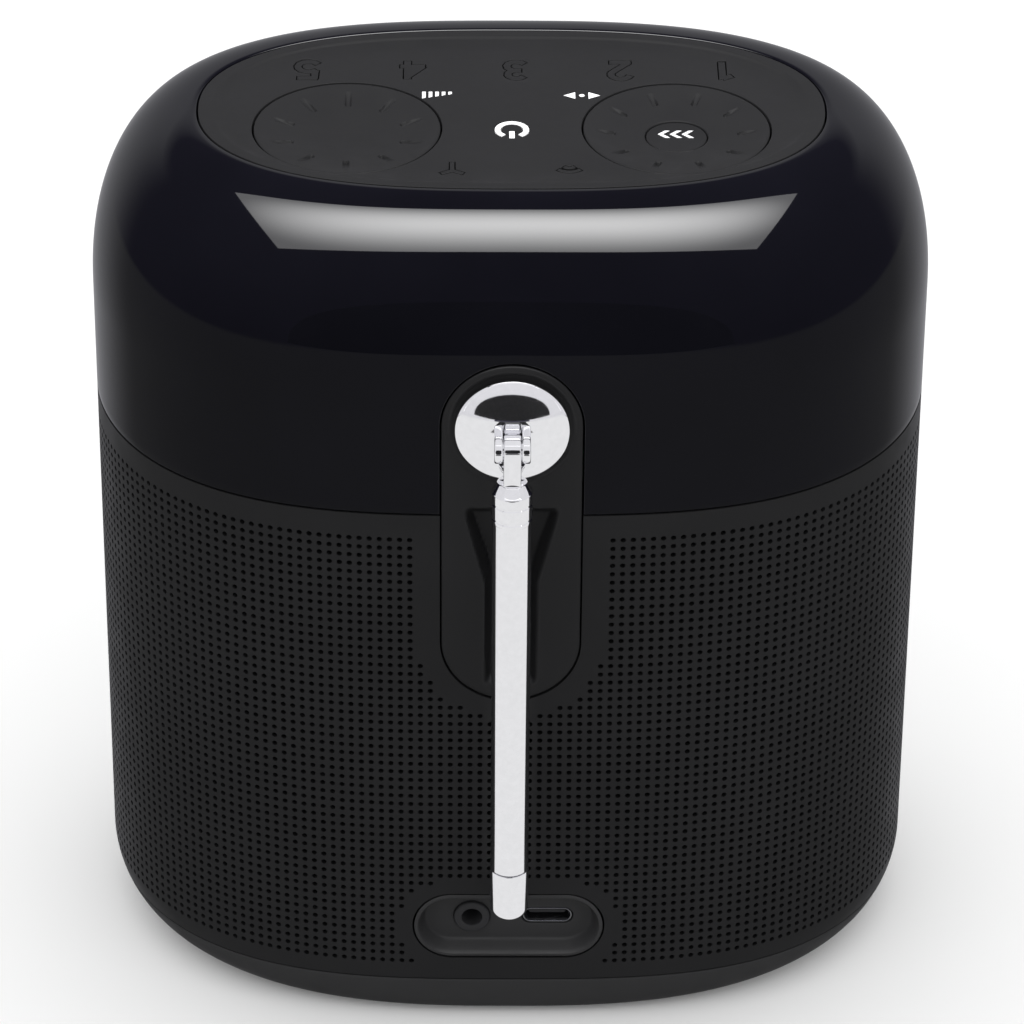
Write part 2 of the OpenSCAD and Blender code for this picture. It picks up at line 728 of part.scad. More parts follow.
fork_in = 1.65;
fork_out = 3.1;
fork_r = 2.6;
module antenna_swivel() color("#dfe2e6") {
    rim_y = rear_y + 1.1;
    cap_h = 2.6;
    cap_r = (dome_r * dome_r + cap_h * cap_h) / (2 * cap_h);
    translate([0, 0, swivel_z]) {
        rod_y(dome_r, rear_y + 0.3, rim_y);
        rod_y(2.9, 36.4, rear_y + 1);
        intersection() {
            translate([0, rim_y + cap_h - cap_r, 0]) sphere(r = cap_r, $fn = 200);
            rod_y(dome_r, rim_y - 0.01, rim_y + 10);
        }
        difference() {
            union() {
                rod_y(fork_out + 0.3, rim_y + 1, pin_y - fork_r - 0.35);
                for (s = [-1, 1]) translate([s * (fork_in + fork_out) / 2, 0, 0]) {
                    translate([0, pin_y, 0]) rotate([0, 90, 0])
                        cylinder(r = fork_r, h = fork_out - fork_in, center = true);
                    block([-(fork_out - fork_in) / 2, rim_y + 1.2, -fork_r],
                          [(fork_out - fork_in) / 2, pin_y, fork_r]);
                }
            }
            translate([0, pin_y, 0]) rotate([0, 90, 0]) cylinder(r = pin_r, h = 20, center = true);
        }
    }
}

module antenna_nut() color("#c8b070") translate([0, 0, swivel_z])
    difference() {
        rotate([90, 30, 0]) translate([0, 0, -plate_under + 0.35]) cylinder(r = 5.6, h = 3, $fn = 6);
        rod_y(2.9, 30, 50);
    }

module antenna_pin() color("#c9ccd0") translate([0, pin_y, swivel_z])
    rotate([0, 90, 0]) cylinder(r = pin_r, h = 2 * fork_out, center = true);

module antenna_knuckle() color("#dfe2e6") {
    tongue = 1.5;
    eye_r = 2.3;
    translate([0, pin_y, 0]) difference() {
        union() {
            translate([0, 0, swivel_z]) rotate([0, 90, 0])
                cylinder(r = eye_r, h = 2 * tongue, center = true);
            block([-tongue, -1.9, knuckle_top - 0.5], [tongue, 1.9, swivel_z]);
            translate([0, 0, knuckle_top - 0.6]) cylinder(r1 = tube_r + 0.17, r2 = 2.5, h = 2.2);
            translate([0, 0, 113.2]) cylinder(r = tube_r + 0.17, h = knuckle_top - 0.6 - 113.2);
        }
        translate([0, 0, swivel_z]) rotate([0, 90, 0])
            cylinder(r = pin_r + running, h = 20, center = true);
        translate([0, 0, 110]) cylinder(r = tube_r, h = 8.2);
    }
}

// Telescoping sections: each one slides inside the one before
module section(i) {
    r_out = tube_r - section_step * i;
    color("#e3e6ea") translate([0, pin_y, 0])
        tube_z(r_out, r_out - tube_wall, tube_end_z + 0.1 + 0.05 * i, 118 - i);
}

module antenna_tube_1() section(0);
module antenna_tube_2() section(1);
module antenna_tube_3() section(2);
module antenna_tube_4() section(3);
module antenna_tube_5() section(4);

module antenna_tip() color("#e3e6ea") translate([0, pin_y, 0]) {
    r_out = tube_r - section_step * 5;
    cap_r = tube_r + 0.085;
    round_r = 1.6;
    translate([0, 0, tube_end_z - 1]) cylinder(r = r_out, h = 113 - tube_end_z);
    rotate_extrude() {
        translate([0, tip_z + round_r]) square([cap_r, tube_end_z - tip_z - round_r - 0.1]);
        translate([0, tip_z]) square([cap_r - round_r, round_r + 1]);
        translate([cap_r - round_r, tip_z + round_r]) circle(r = round_r, $fn = 48);
    }
}

top_shell();
top_panel();
volume_dial();
tune_dial();
scan_button();
power_key();
preset_key_1();
preset_key_2();
preset_key_3();
preset_key_4();
preset_key_5();
band_key();
wireless_key();
control_board();
tact_switches();
volume_encoder();
tune_encoder();
panel_screws();
display_window();
display_module();
chassis_plate();
main_board();
tuner_can();
wireless_module();
amplifier_heatsink();
capacitors();
speaker_box();
box_gasket();
woofer_basket();
woofer_magnet();
woofer_surround();
woofer_spider();
woofer_cone();
dust_cap();
voice_coil();
radiator_frame();
radiator_surround();
radiator_diaphragm();
grille();
base_cover();
foot_mat();
base_screws();
shell_screws();
battery_cells();
battery_tray();
port_bezel();
port_board();
aux_jack();
usb_socket();
rear_plate();
antenna_swivel();
antenna_nut();
antenna_pin();
antenna_knuckle();
antenna_tube_1();
antenna_tube_2();
antenna_tube_3();
antenna_tube_4();
antenna_tube_5();
antenna_tip();
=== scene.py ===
import json
import math

import bmesh
import bpy
import numpy as np
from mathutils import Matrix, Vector
from mathutils.geometry import delaunay_2d_cdt

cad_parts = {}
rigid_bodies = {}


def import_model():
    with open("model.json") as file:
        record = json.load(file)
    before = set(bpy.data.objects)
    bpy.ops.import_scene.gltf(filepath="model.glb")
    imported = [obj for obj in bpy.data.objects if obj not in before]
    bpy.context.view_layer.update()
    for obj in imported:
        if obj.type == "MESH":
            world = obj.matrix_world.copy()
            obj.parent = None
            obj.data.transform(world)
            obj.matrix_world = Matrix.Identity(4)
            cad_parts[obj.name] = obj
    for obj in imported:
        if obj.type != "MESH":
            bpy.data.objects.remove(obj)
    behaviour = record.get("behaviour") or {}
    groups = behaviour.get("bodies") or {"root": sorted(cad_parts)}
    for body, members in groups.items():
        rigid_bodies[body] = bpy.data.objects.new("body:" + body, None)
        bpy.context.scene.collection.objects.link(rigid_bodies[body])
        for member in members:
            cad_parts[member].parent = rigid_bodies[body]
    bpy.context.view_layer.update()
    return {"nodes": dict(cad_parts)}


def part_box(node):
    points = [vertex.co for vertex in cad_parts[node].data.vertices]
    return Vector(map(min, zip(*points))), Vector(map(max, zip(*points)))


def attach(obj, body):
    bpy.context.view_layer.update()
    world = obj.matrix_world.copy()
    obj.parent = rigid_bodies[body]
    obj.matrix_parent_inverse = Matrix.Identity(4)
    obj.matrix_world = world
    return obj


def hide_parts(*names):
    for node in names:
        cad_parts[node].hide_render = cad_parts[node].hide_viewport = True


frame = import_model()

# Tabletop radio with a telescopic rear antenna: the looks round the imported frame.
# Shapes are worked out in millimetres and become metres when a mesh is made.
MM = 0.001
HOUSING = "housing"


def box_of(node):
    low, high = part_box(node)
    return np.array(low) / MM, np.array(high) / MM


# ---- Sizes that the frame gives ----

GRILLE_LOW, GRILLE_HIGH = box_of("grille")
BASE_LOW, BASE_HIGH = box_of("base_cover")
PANEL_LOW, PANEL_HIGH = box_of("top_panel")
PLATE_LOW, PLATE_HIGH = box_of("rear_plate")
BEZEL_LOW, BEZEL_HIGH = box_of("port_bezel")
BODY_HALF = GRILLE_HIGH[:2]
REAR = PLATE_HIGH[1]
TOP = PANEL_HIGH[2]
PANEL_HALF = PANEL_HIGH[:2]
DISH = box_of("volume_dial")[1][2]
BEZEL_FLANGE = 2.6  # the bezel's hidden flange makes it this much larger than its recess
RECESS_W = 2 * BEZEL_HIGH[0] - BEZEL_FLANGE
RECESS_H = BEZEL_HIGH[2] - BEZEL_LOW[2] - BEZEL_FLANGE
RECESS_Z = (BEZEL_HIGH[2] + BEZEL_LOW[2]) / 2

# ---- Shape of the body, as the CAD source has it ----

BODY_SQUARE = (3.13, 1.98)
PANEL_SQUARE = (2.72, 2.22)
SHOULDER_Z = 131.0
SHOULDER_POWER = (2.15, 2.18)
FOOT_HALF = BODY_HALF - (9.95, 3.2)
FOOT_SQUARE = (2.62, 1.99)
TUCK_Z = 14.06  # the sides start to curve in under this
SHELL_WALL = 2.4
GRILLE_WALL = 1.2
SEAM_GAP = 0.3
HEM = 0.25  # radius of a moulded edge


# ---- Outlines and surfaces of the body ----


def oval(half, square, t):
    c, s = np.cos(t), np.sin(t)
    x = half[0] * np.sign(c) * np.abs(c) ** (2 / square[0])
    y = half[1] * np.sign(s) * np.abs(s) ** (2 / square[1])
    return np.stack([x, y], -1)


def close_turns(square, count=3000):
    """Turns round an oval from the rear's centre through +X, close together all the way along."""
    w = np.linspace(0, 1, count)
    quarter = np.concatenate([np.arcsin(w ** (square[0] / 2)), np.arccos(w ** (square[1] / 2))])
    quarter = np.unique(quarter)
    half = np.concatenate([quarter, (np.pi - quarter[::-1])[1:]])
    return np.pi / 2 - np.concatenate([half, np.pi + half[1:]])


TURNS = close_turns(BODY_SQUARE)
_steps = np.linalg.norm(np.diff(oval(BODY_HALF, BODY_SQUARE, TURNS), axis=0), axis=1)
ALONG = np.concatenate([[0], np.cumsum(_steps)])
GIRTH = ALONG[-1]


def turn_at(s):
    """The turn at a length s round the body from the rear's centre line."""
    return np.interp(np.mod(s, GIRTH), ALONG, TURNS)


def along_at(x):
    """Length round the body from the rear's centre line to where the plan's rear has this x."""
    t = np.arccos((np.abs(x) / BODY_HALF[0]) ** (BODY_SQUARE[0] / 2))
    return np.sign(x) * np.interp(-t, -TURNS, ALONG)


def morph(half, square, k, t):
    """The plan's outline, part way k to another outline."""
    k = np.asarray(k)[..., None]
    return oval(BODY_HALF, BODY_SQUARE, t) * (1 - k) + oval(half, square, t) * k


def side(s, z):
    """The side below the shoulder, with its tuck above the foot."""
    drop = np.clip((TUCK_Z - np.asarray(z)) / (TUCK_Z - BASE_LOW[2]), 0, 1)
    xy = morph(FOOT_HALF, FOOT_SQUARE, 1 - np.sqrt(1 - drop**2), turn_at(s))
    return np.concatenate([xy, np.broadcast_to(z, xy.shape[:-1])[..., None]], -1)


SEAM_Z = GRILLE_HIGH[2] + SEAM_GAP
_sweep = np.linspace(0, np.pi / 2, 2000)
_inward = 1 - np.cos(_sweep) ** (2 / SHOULDER_POWER[0])
_height = SHOULDER_Z + (TOP - SHOULDER_Z) * np.sin(_sweep) ** (2 / SHOULDER_POWER[1])
_reach = _inward * (BODY_HALF[1] - PANEL_HALF[1])
_length = np.cumsum(np.hypot(np.diff(_reach, prepend=0), np.diff(_height, prepend=SHOULDER_Z)))
SHELL_LENGTH = SHOULDER_Z - SEAM_Z + _length[-1]


def shell(s, g):
    """The glossy shell: g is the length up its profile from the seam."""
    up = np.asarray(g) - (SHOULDER_Z - SEAM_Z)
    k = np.interp(up, _length, _inward)
    z = np.where(up > 0, np.interp(up, _length, _height), SEAM_Z + g)
    xy = morph(PANEL_HALF + 0.15 + HEM, PANEL_SQUARE, k, turn_at(s))
    return np.concatenate([xy, np.broadcast_to(z, xy.shape[:-1])[..., None]], -1)


def rise_at(z):
    """Length up the shell's profile at a height z."""
    return np.where(z > SHOULDER_Z, SHOULDER_Z - SEAM_Z + np.interp(z, _height, _length), z - SEAM_Z)


def stadium(width, low, high, step=0.6, upright=True):
    """Outline of a stadium that is low to high along its long axis, and width across."""
    r = width / 2
    ends = max(8, int(np.pi * r / step))
    a = np.linspace(0, np.pi, ends + 1)
    straight = np.linspace(low + r, high - r, max(2, int((high - low - width) / step)) + 1)[1:-1]
    up = np.stack([np.full(len(straight), r), straight], -1)
    cap = np.stack([r * np.cos(a), high - r + r * np.sin(a)], -1)
    foot = np.stack([-r * np.cos(a), low + r - r * np.sin(a)], -1)
    points = np.concatenate([up, cap, up[::-1] * (-1, 1), foot])
    return points if upright else points[:, ::-1]


def depth_in(points, width, low, high, upright=True):
    """Distance inside a stadium's edge, less than zero outside it."""
    p = points if upright else points[:, ::-1]
    r = width / 2
    return r - np.hypot(p[:, 0], p[:, 1] - np.clip(p[:, 1], low + r, high - r))


def ring(centre, r, count):
    a = np.linspace(0, 2 * np.pi, count, endpoint=False)
    return np.asarray(centre) + r * np.stack([np.cos(a), np.sin(a)], -1)


def smooth(v):
    v = np.clip(v, 0, 1)
    return v * v * (3 - 2 * v)


def inside(points, loop):
    """Which points lie in a closed outline."""
    x, y = points[:, 0], points[:, 1]
    hit = np.zeros(len(points), bool)
    for (ax, ay), (bx, by) in zip(loop, np.roll(loop, -1, 0)):
        if ay != by:
            hit ^= ((ay > y) != (by > y)) & (x < (bx - ax) * (y - ay) / (by - ay) + ax)
    return hit


def grow(loop, by):
    """A closed outline moved outwards by a small distance."""
    edge = np.roll(loop, -1, 0) - loop
    edge = edge / np.linalg.norm(edge, axis=1)[:, None]
    area = np.sum(loop[:, 0] * np.roll(loop[:, 1], -1) - loop[:, 1] * np.roll(loop[:, 0], -1))
    out = np.stack([edge[:, 1], -edge[:, 0]], -1) * np.sign(area)
    both = out + np.roll(out, 1, 0)
    both = both / np.maximum(np.linalg.norm(both, axis=1), 0.2)[:, None]
    lean = np.maximum(np.sum(both * out, 1), 0.6)[:, None]
    return loop + both * by / lean


# ---- Meshes ----


NO_POINTS = np.zeros((0, 2))


def net(loops, extra, keep):
    """Triangles through outlines, each (points, closed), and loose points; keep says which centres stay."""
    points, edges = [], []
    for line, closed in loops:
        first = len(points)
        points.extend(line.tolist())
        edges.extend((first + i, first + i + 1) for i in range(len(line) - 1))
        if closed:
            edges.append((len(points) - 1, first))
    points.extend(np.asarray(extra).reshape(-1, 2).tolist())
    verts, _, faces, *_ = delaunay_2d_cdt([Vector(p) for p in points], edges, [], 0, 1e-5)
    flat = np.array([v[:] for v in verts])
    faces = np.array(faces)
    faces = faces[keep(flat[faces].mean(1))]
    used, index = np.unique(faces, return_inverse=True)
    return flat[used], index.reshape(-1, 3)


def lattice(x_range, y_range, step):
    x = np.arange(x_range[0] + step / 2, x_range[1], step)
    y = np.arange(y_range[0] + step / 2, y_range[1], step)
    return np.stack(np.meshgrid(x, y), -1).reshape(-1, 2)


def hem(bm, radius, depth, steps=3):
    """Rounds each open edge of a sheet and carries it inwards, so that the sheet shows its thickness."""
    bm.normal_update()
    rims = [e for e in bm.edges if e.is_boundary]
    out = {}
    for e in rims:
        face = e.link_faces[0]
        a, b = e.verts
        side_way = (b.co - a.co).normalized().cross(face.normal)
        if side_way.dot(a.co - face.calc_center_median()) < 0:
            side_way.negate()
        for v in e.verts:
            out.setdefault(v, []).append(side_way)
    rings = {}
    for v, ways in out.items():
        total = sum(ways, Vector())
        way = total.normalized()
        reach = radius / max(0.5, way.dot(ways[0]))
        n = v.normal
        made = [v]
        for k in range(1, steps + 1):
            a = k / steps * math.pi / 2
            made.append(bm.verts.new(v.co + way * reach * math.sin(a) - n * radius * (1 - math.cos(a))))
        made.append(bm.verts.new(v.co + way * reach - n * depth))
        rings[v] = made
    for e in rims:
        loop = e.link_loops[0]
        a, b = loop.vert, loop.link_loop_next.vert
        for k in range(steps + 1):
            bm.faces.new((rings[b][k], rings[a][k], rings[a][k + 1], rings[b][k + 1]))


def piece(name, points, faces, material, body=HOUSING, replaces=(), sharp=38, weld=0.004,
          hemmed=None):
    """A mesh from points in millimetres, welded, hemmed, smoothed by angle and riding on a body."""
    mesh = bpy.data.meshes.new(name)
    mesh.from_pydata((np.asarray(points, float) * MM).tolist(), [], [list(map(int, f)) for f in faces])
    bm = bmesh.new()
    bm.from_mesh(mesh)
    if weld:
        bmesh.ops.remove_doubles(bm, verts=bm.verts, dist=weld * MM)
    if hemmed:
        hem(bm, hemmed[0] * MM, hemmed[1] * MM)
    bm.to_mesh(mesh)
    bm.free()
    mesh.shade_smooth()
    mesh.set_sharp_from_angle(angle=math.radians(sharp))
    made = bpy.data.objects.new(name, mesh)
    bpy.context.scene.collection.objects.link(made)
    mesh.materials.append(material)
    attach(made, body)
    if replaces:
        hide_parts(*replaces)
    return made


def facing(points, faces, way):
    """Faces turned so that each one looks along way, one direction or one for each face."""
    p = np.asarray(points)
    faces = np.asarray(faces)
    n = np.cross(p[faces[:, 1]] - p[faces[:, 0]], p[faces[:, 2]] - p[faces[:, 0]])
    turned = np.sum(n * way, 1) < 0
    faces[turned] = faces[turned][:, ::-1]
    return faces


def loft(rings, cap_low=True, cap_high=True):
    """Points and faces through rings of equal counts, wound anticlockwise as seen from the far end."""
    count = len(rings[0])
    points = np.concatenate(rings)
    i = np.arange(count)
    j = (i + 1) % count
    faces = []
    for level in range(len(rings) - 1):
        base = level * count
        faces += np.stack([base + i, base + j, base + count + j, base + count + i], -1).tolist()
    if cap_low:
        faces.append(list(range(count))[::-1])
    if cap_high:
        faces.append(list(range(len(points) - count, len(points))))
    return points, faces


def lathe(profile, count=72):
    """A turned shape about +Z from (radius, height) pairs; a radius of zero closes an end."""
    a = np.linspace(0, 2 * np.pi, count, endpoint=False)
    turn = np.stack([np.cos(a), np.sin(a)], -1)
    rings = [np.concatenate([turn * max(r, 1e-4), np.full((count, 1), z)], 1) for r, z in profile]
    return loft(rings, cap_low=profile[0][0] > 0, cap_high=profile[-1][0] > 0)


def fillet(centre, r, start, end, steps=4):
    """A round in a profile, about a centre, from one angle to another in degrees."""
    a = np.radians(np.linspace(start, end, steps + 1))
    return [(centre[0] + r * np.cos(v), centre[1] + r * np.sin(v)) for v in a]


def to_rear(points, centre=(0, 0)):
    """Turns a shape about +Z into one about +Y, centred on an (x, z) point."""
    p = np.asarray(points)
    return np.stack([p[:, 0] + centre[0], p[:, 2], -p[:, 1] + centre[1]], -1)


def outline_of(node, z):
    """Closed outlines in a level face of a CAD node: the edges where that face meets a wall."""
    mesh = frame["nodes"][node].data
    level = {}
    places = {}
    for v in mesh.vertices:
        if abs(v.co.z / MM - z) < 0.01:
            places[v.index] = (round(v.co.x / MM, 3), round(v.co.y / MM, 3))
    for face in mesh.polygons:
        if all(i in places for i in face.vertices):
            ring_places = [places[i] for i in face.vertices]
            for a, b in zip(ring_places, ring_places[1:] + ring_places[:1]):
                level[(a, b)] = level.get((a, b), 0) + 1
    open_edges = {a: b for a, b in level if (b, a) not in level and a != b}
    loops = []
    while open_edges:
        start, at = open_edges.popitem()
        loop = [start]
        while at != start and at in open_edges:
            loop.append(at)
            at = open_edges.pop(at)
        if len(loop) > 3:
            loops.append(np.array(loop))
    return loops


# ---- Materials ----


def add(tree, kind, values, **settings):
    """A new node. Each value is a constant for an input, or an output to link to it."""
    made = tree.nodes.new("ShaderNode" + kind)
    for setting, value in settings.items():
        setattr(made, setting, value)
    for socket, value in values.items():
        if isinstance(value, bpy.types.NodeSocket):
            tree.links.new(value, made.inputs[socket])
        else:
            made.inputs[socket].default_value = value
    return made


def shader(name, colour, rough, metal=0.0, **sockets):
    """A new material, its node tree and its shader."""
    material = bpy.data.materials.new(name)
    material.use_nodes = True
    tree = material.node_tree
    bsdf = tree.nodes["Principled BSDF"]
    bsdf.inputs["Base Color"].default_value = (*colour, 1)
    bsdf.inputs["Roughness"].default_value = rough
    bsdf.inputs["Metallic"].default_value = metal
    for socket, value in sockets.items():
        bsdf.inputs[socket.replace("_", " ")].default_value = value
    return material, tree, bsdf


def noise(tree, scale, detail=4.0, stretch=(1, 1, 1)):
    """Noise in the piece's own coordinates."""
    place = add(tree, "TexCoord", {})
    fit = add(tree, "Mapping", {"Vector": place.outputs["Object"], "Scale": stretch})
    made = add(tree, "TexNoise", {"Vector": fit.outputs["Vector"], "Scale": scale, "Detail": detail})
    return made.outputs["Fac"]


def ramp(tree, value, low, high, span=(0.3, 0.7)):
    """Carries a 0 to 1 value to a colour between two others."""
    made = add(tree, "ValToRGB", {"Fac": value})
    for stop, position, colour in zip(made.color_ramp.elements, span, (low, high)):
        stop.position = position
        stop.color = (*colour, 1)
    return made.outputs["Color"]


def between(tree, value, low, high, span=(0.3, 0.7), **settings):
    """Carries a value in a span to one between low and high."""
    values = {"Value": value, "From Min": span[0], "From Max": span[1], "To Min": low, "To Max": high}
    return add(tree, "MapRange", values, **settings).outputs["Result"]


def bumped(tree, bsdf, value, strength, height):
    made = add(tree, "Bump", {"Strength": strength, "Distance": height, "Height": value})
    tree.links.new(made.outputs["Normal"], bsdf.inputs["Normal"])


def shades(colour, spread):
    return tuple(c * (1 - spread) for c in colour), tuple(c * (1 + spread) for c in colour)


def moulded(name, colour, rough, grain=2200, depth=0.00002, strength=0.5, spread=0.12, metal=0.0, **sockets):
    """Plastic, paint, rubber or cast metal: a fine surface grain, and slow changes of tone and sheen."""
    material, tree, bsdf = shader(name, colour, rough, metal, **sockets)
    tree.links.new(ramp(tree, noise(tree, 38), *shades(colour, spread)), bsdf.inputs["Base Color"])
    tree.links.new(between(tree, noise(tree, 160), rough * 0.88, rough * 1.12), bsdf.inputs["Roughness"])
    bumped(tree, bsdf, noise(tree, grain, 2), strength, depth)
    return material


def brushed(name, colour, rough, stretch=(1, 1, 0.02), spread=0.06):
    """Plated or drawn metal with hairlines along one axis."""
    material, tree, bsdf = shader(name, colour, rough, 1.0)
    lines = noise(tree, 900, 3, stretch)
    tree.links.new(ramp(tree, lines, *shades(colour, spread)), bsdf.inputs["Base Color"])
    tree.links.new(between(tree, lines, rough * 0.7, rough * 1.4), bsdf.inputs["Roughness"])
    return material


GLOSS_BLACK = moulded("gloss_black", (0.0018, 0.0018, 0.0028), 0.03, 90, 0.000001, 0.1, 0.15, IOR=1.5)
PANEL_RUBBER = moulded("panel_soft_touch", (0.0138, 0.0138, 0.0148), 0.55, 3400, 0.000012, 0.5, 0.08,
                       Specular_IOR_Level=0.4)
KEY_RUBBER = moulded("key_soft_touch", (0.0128, 0.0128, 0.0138), 0.52, 3400, 0.000012, 0.5, 0.08,
                     Specular_IOR_Level=0.4)
WHITE_INK = moulded("white_ink", (0.86, 0.86, 0.87), 0.5, 3000, 0.000008, 0.3, 0.03)
GRILLE_PAINT = moulded("grille_paint", (0.0088, 0.0088, 0.0096), 0.42, 3000, 0.00001, 0.45, 0.1)
SCRIM = moulded("scrim_cloth", (0.002, 0.002, 0.0022), 0.95, 1600, 0.0001, 0.8, 0.3,
                Specular_IOR_Level=0.1)
BASE_PLASTIC = moulded("base_plastic", (0.021, 0.021, 0.022), 0.5, 2800, 0.000014, 0.5, 0.1)
REAR_PLASTIC = moulded("rear_plastic", (0.0105, 0.0105, 0.0113), 0.46, 3000, 0.000012, 0.45, 0.08,
                       Specular_IOR_Level=0.45)
CHROME = brushed("antenna_chrome", (0.9, 0.9, 0.92), 0.05, (1, 1, 1), 0.02)
NICKEL = brushed("socket_nickel", (0.72, 0.73, 0.75), 0.18)
BRASS = brushed("antenna_brass", (0.78, 0.57, 0.25), 0.25)
STEEL = brushed("screw_steel", (0.55, 0.56, 0.58), 0.3, (1, 1, 1))
ALUMINIUM = brushed("heatsink_aluminium", (0.62, 0.63, 0.65), 0.38, (0.02, 1, 1))
BOARD = moulded("circuit_board", (0.012, 0.09, 0.045), 0.35, 1200, 0.00004, 0.4, 0.2)
COMPONENT = moulded("black_component", (0.02, 0.02, 0.022), 0.5)
INNER_PLASTIC = moulded("inner_plastic", (0.02, 0.02, 0.021), 0.62, 1500, 0.00003)
RUBBER = moulded("rubber", (0.01, 0.01, 0.01), 0.8, 1800, 0.00003, 0.7)
MAGNET = moulded("magnet_metal", (0.12, 0.12, 0.125), 0.45, 1800, 0.00002, 0.5, 0.1, 1.0)
PAPER = moulded("cone_paper", (0.016, 0.015, 0.014), 0.85, 700, 0.00012, 0.8, 0.25)
COPPER = brushed("coil_copper", (0.72, 0.32, 0.13), 0.3, (1, 60, 1))
GLASS = moulded("display_glass", (0.002, 0.002, 0.003), 0.03, 90, 0.000001, 0.1, 0.1, IOR=1.3)
CELL_WRAP = moulded("cell_wrap", (0.05, 0.16, 0.32), 0.3, 500, 0.00002, 0.3, 0.1)
SPIDER_CLOTH = moulded("spider_cloth", (0.22, 0.13, 0.05), 0.9, 900, 0.0001, 0.8, 0.2)

CAD_FINISH = (
    (BOARD, "control_board main_board port_board wireless_module"),
    (COMPONENT, "tact_switches capacitors display_module aux_jack"),
    (STEEL, "volume_encoder tune_encoder panel_screws base_screws shell_screws"),
    (NICKEL, "tuner_can usb_socket"),
    (INNER_PLASTIC, "chassis_plate speaker_box battery_tray woofer_basket radiator_frame"),
    (RUBBER, "box_gasket woofer_surround radiator_surround foot_mat"),
    (PAPER, "woofer_cone dust_cap radiator_diaphragm"),
    (ALUMINIUM, "amplifier_heatsink"), (MAGNET, "woofer_magnet"), (SPIDER_CLOTH, "woofer_spider"),
    (COPPER, "voice_coil"), (CELL_WRAP, "battery_cells"), (BRASS, "antenna_nut"),
    (CHROME, "antenna_pin"), (GLASS, "display_window"),
)
for finish, nodes in CAD_FINISH:
    for node in nodes.split():
        cad = frame["nodes"][node]
        cad.data.materials.clear()
        cad.data.materials.append(finish)


# ---- Glossy upper shell ----

WINDOW_LOW, WINDOW_HIGH = box_of("display_window")
FIT_GAP = 0.2  # left open round a part that stands in an opening
PLATE_W = PLATE_HIGH[0] - PLATE_LOW[0]
ARCH_MIDDLE_Z = 120.0  # a height in the round top of the plate's opening


def plate_outline(by, step=0.6):
    """The rear plate's outline grown by a gap, as (x, z) points."""
    return stadium(PLATE_W + 2 * by, PLATE_LOW[2] - by, PLATE_HIGH[2] + by, step)


def recess(by, step=0.4):
    """The port recess's outline moved inwards, as (x, z) points."""
    half = RECESS_W / 2 - by
    return stadium(RECESS_H - 2 * by, -half, half, step, upright=False) + (0, RECESS_Z)


def recess_depth_in(xz):
    return depth_in(xz - (0, RECESS_Z), RECESS_H, -RECESS_W / 2, RECESS_W / 2, upright=False)


def in_plate_opening(points, margin=0):
    """Which points of the shell lie in the rear plate's opening, or within a margin of it."""
    gap = FIT_GAP + HEM
    inward = depth_in(points[:, [0, 2]], PLATE_W + 2 * gap, PLATE_LOW[2], PLATE_HIGH[2] + gap)
    return (points[:, 1] > 0) & (inward > -margin)


def on_shell(xz):
    """Where an (x, z) point on the rear lies on the shell: (length round, length up)."""
    places = []
    for x, z in xz:
        g = float(rise_at(z))
        near = abs(along_at(x)) * np.linspace(0.9, 1.6, 60)
        found = shell(near, np.full(60, g))[:, 0]
        places.append((np.sign(x) * np.interp(abs(x), found, near), g))
    return np.array(places)


def upright_line(s, levels):
    return np.stack([np.full(len(levels), s), levels], -1)


def level_line(places, g):
    return np.stack([places, np.full(len(places), g)], -1)


def make_shell():
    """The shell as a flat net of (length round, length up), cut at the side and round its two openings."""
    opening = plate_outline(FIT_GAP + HEM)
    arch = opening[opening[:, 1] > SEAM_Z]
    arch = arch[np.argsort(np.arctan2(arch[:, 1] - ARCH_MIDDLE_Z, arch[:, 0]))]
    low = np.array([[arch[0, 0], SEAM_Z + HEM]])
    arch = on_shell(np.concatenate([low, arch[arch[:, 1] > SEAM_Z + HEM + 0.3], low * (-1, 1)]))
    front = GIRTH / 2
    reach = FIT_GAP + HEM
    half = along_at(WINDOW_HIGH[0] + reach)
    w0, w1 = front - half, front + half
    g0, g1 = WINDOW_LOW[2] - reach - SEAM_Z, WINDOW_HIGH[2] + reach - SEAM_Z
    across = np.linspace(w0, w1, 60)
    upward = np.linspace(g0, g1, 16)[1:-1]
    window = np.concatenate([level_line(across, g0), upright_line(w1, upward),
                             level_line(across[::-1], g1), upright_line(w0, upward[::-1])])
    start, end = -GIRTH / 4, 3 * GIRTH / 4
    columns = np.linspace(start, end, 325)
    bend = SHOULDER_Z - SEAM_Z
    levels = np.concatenate([np.linspace(HEM, bend, 16)[:-1], np.linspace(bend, SHELL_LENGTH, 58)])
    inner = levels[1:-1]
    grid = np.stack(np.meshgrid(columns[1:-1], inner), -1).reshape(-1, 2)

    def in_window(c, beside=0, above=0):
        return (np.abs(c[:, 0] - front) < half + beside) & (c[:, 1] > g0 - above) & (c[:, 1] < g1 + above)

    at_plate = in_plate_opening(shell(grid[:, 0], grid[:, 1]), 0.5)
    grid = grid[~in_window(grid, 0.5, 0.4) & ~at_plate]
    bottom = columns[(columns < arch[-1, 0] - 0.3) | (columns > arch[0, 0] + 0.3)]
    border = np.concatenate([level_line(bottom, HEM), upright_line(end, inner),
                             level_line(columns[::-1], SHELL_LENGTH), upright_line(start, inner[::-1])])

    def keep(c):
        return ~in_plate_opening(shell(c[:, 0], c[:, 1])) & ~in_window(c)

    flat, faces = net([(border, True), (arch, False), (window, True)], grid, keep)
    points = shell(flat[:, 0], flat[:, 1])
    away = points[faces].mean(1) * (1, 1, 0) + (0, 0, 12)
    piece("gloss_shell", points, facing(points, faces, away), GLOSS_BLACK, replaces=["top_shell"],
          sharp=40, hemmed=(HEM, SHELL_WALL))


# ---- Perforated grille ----

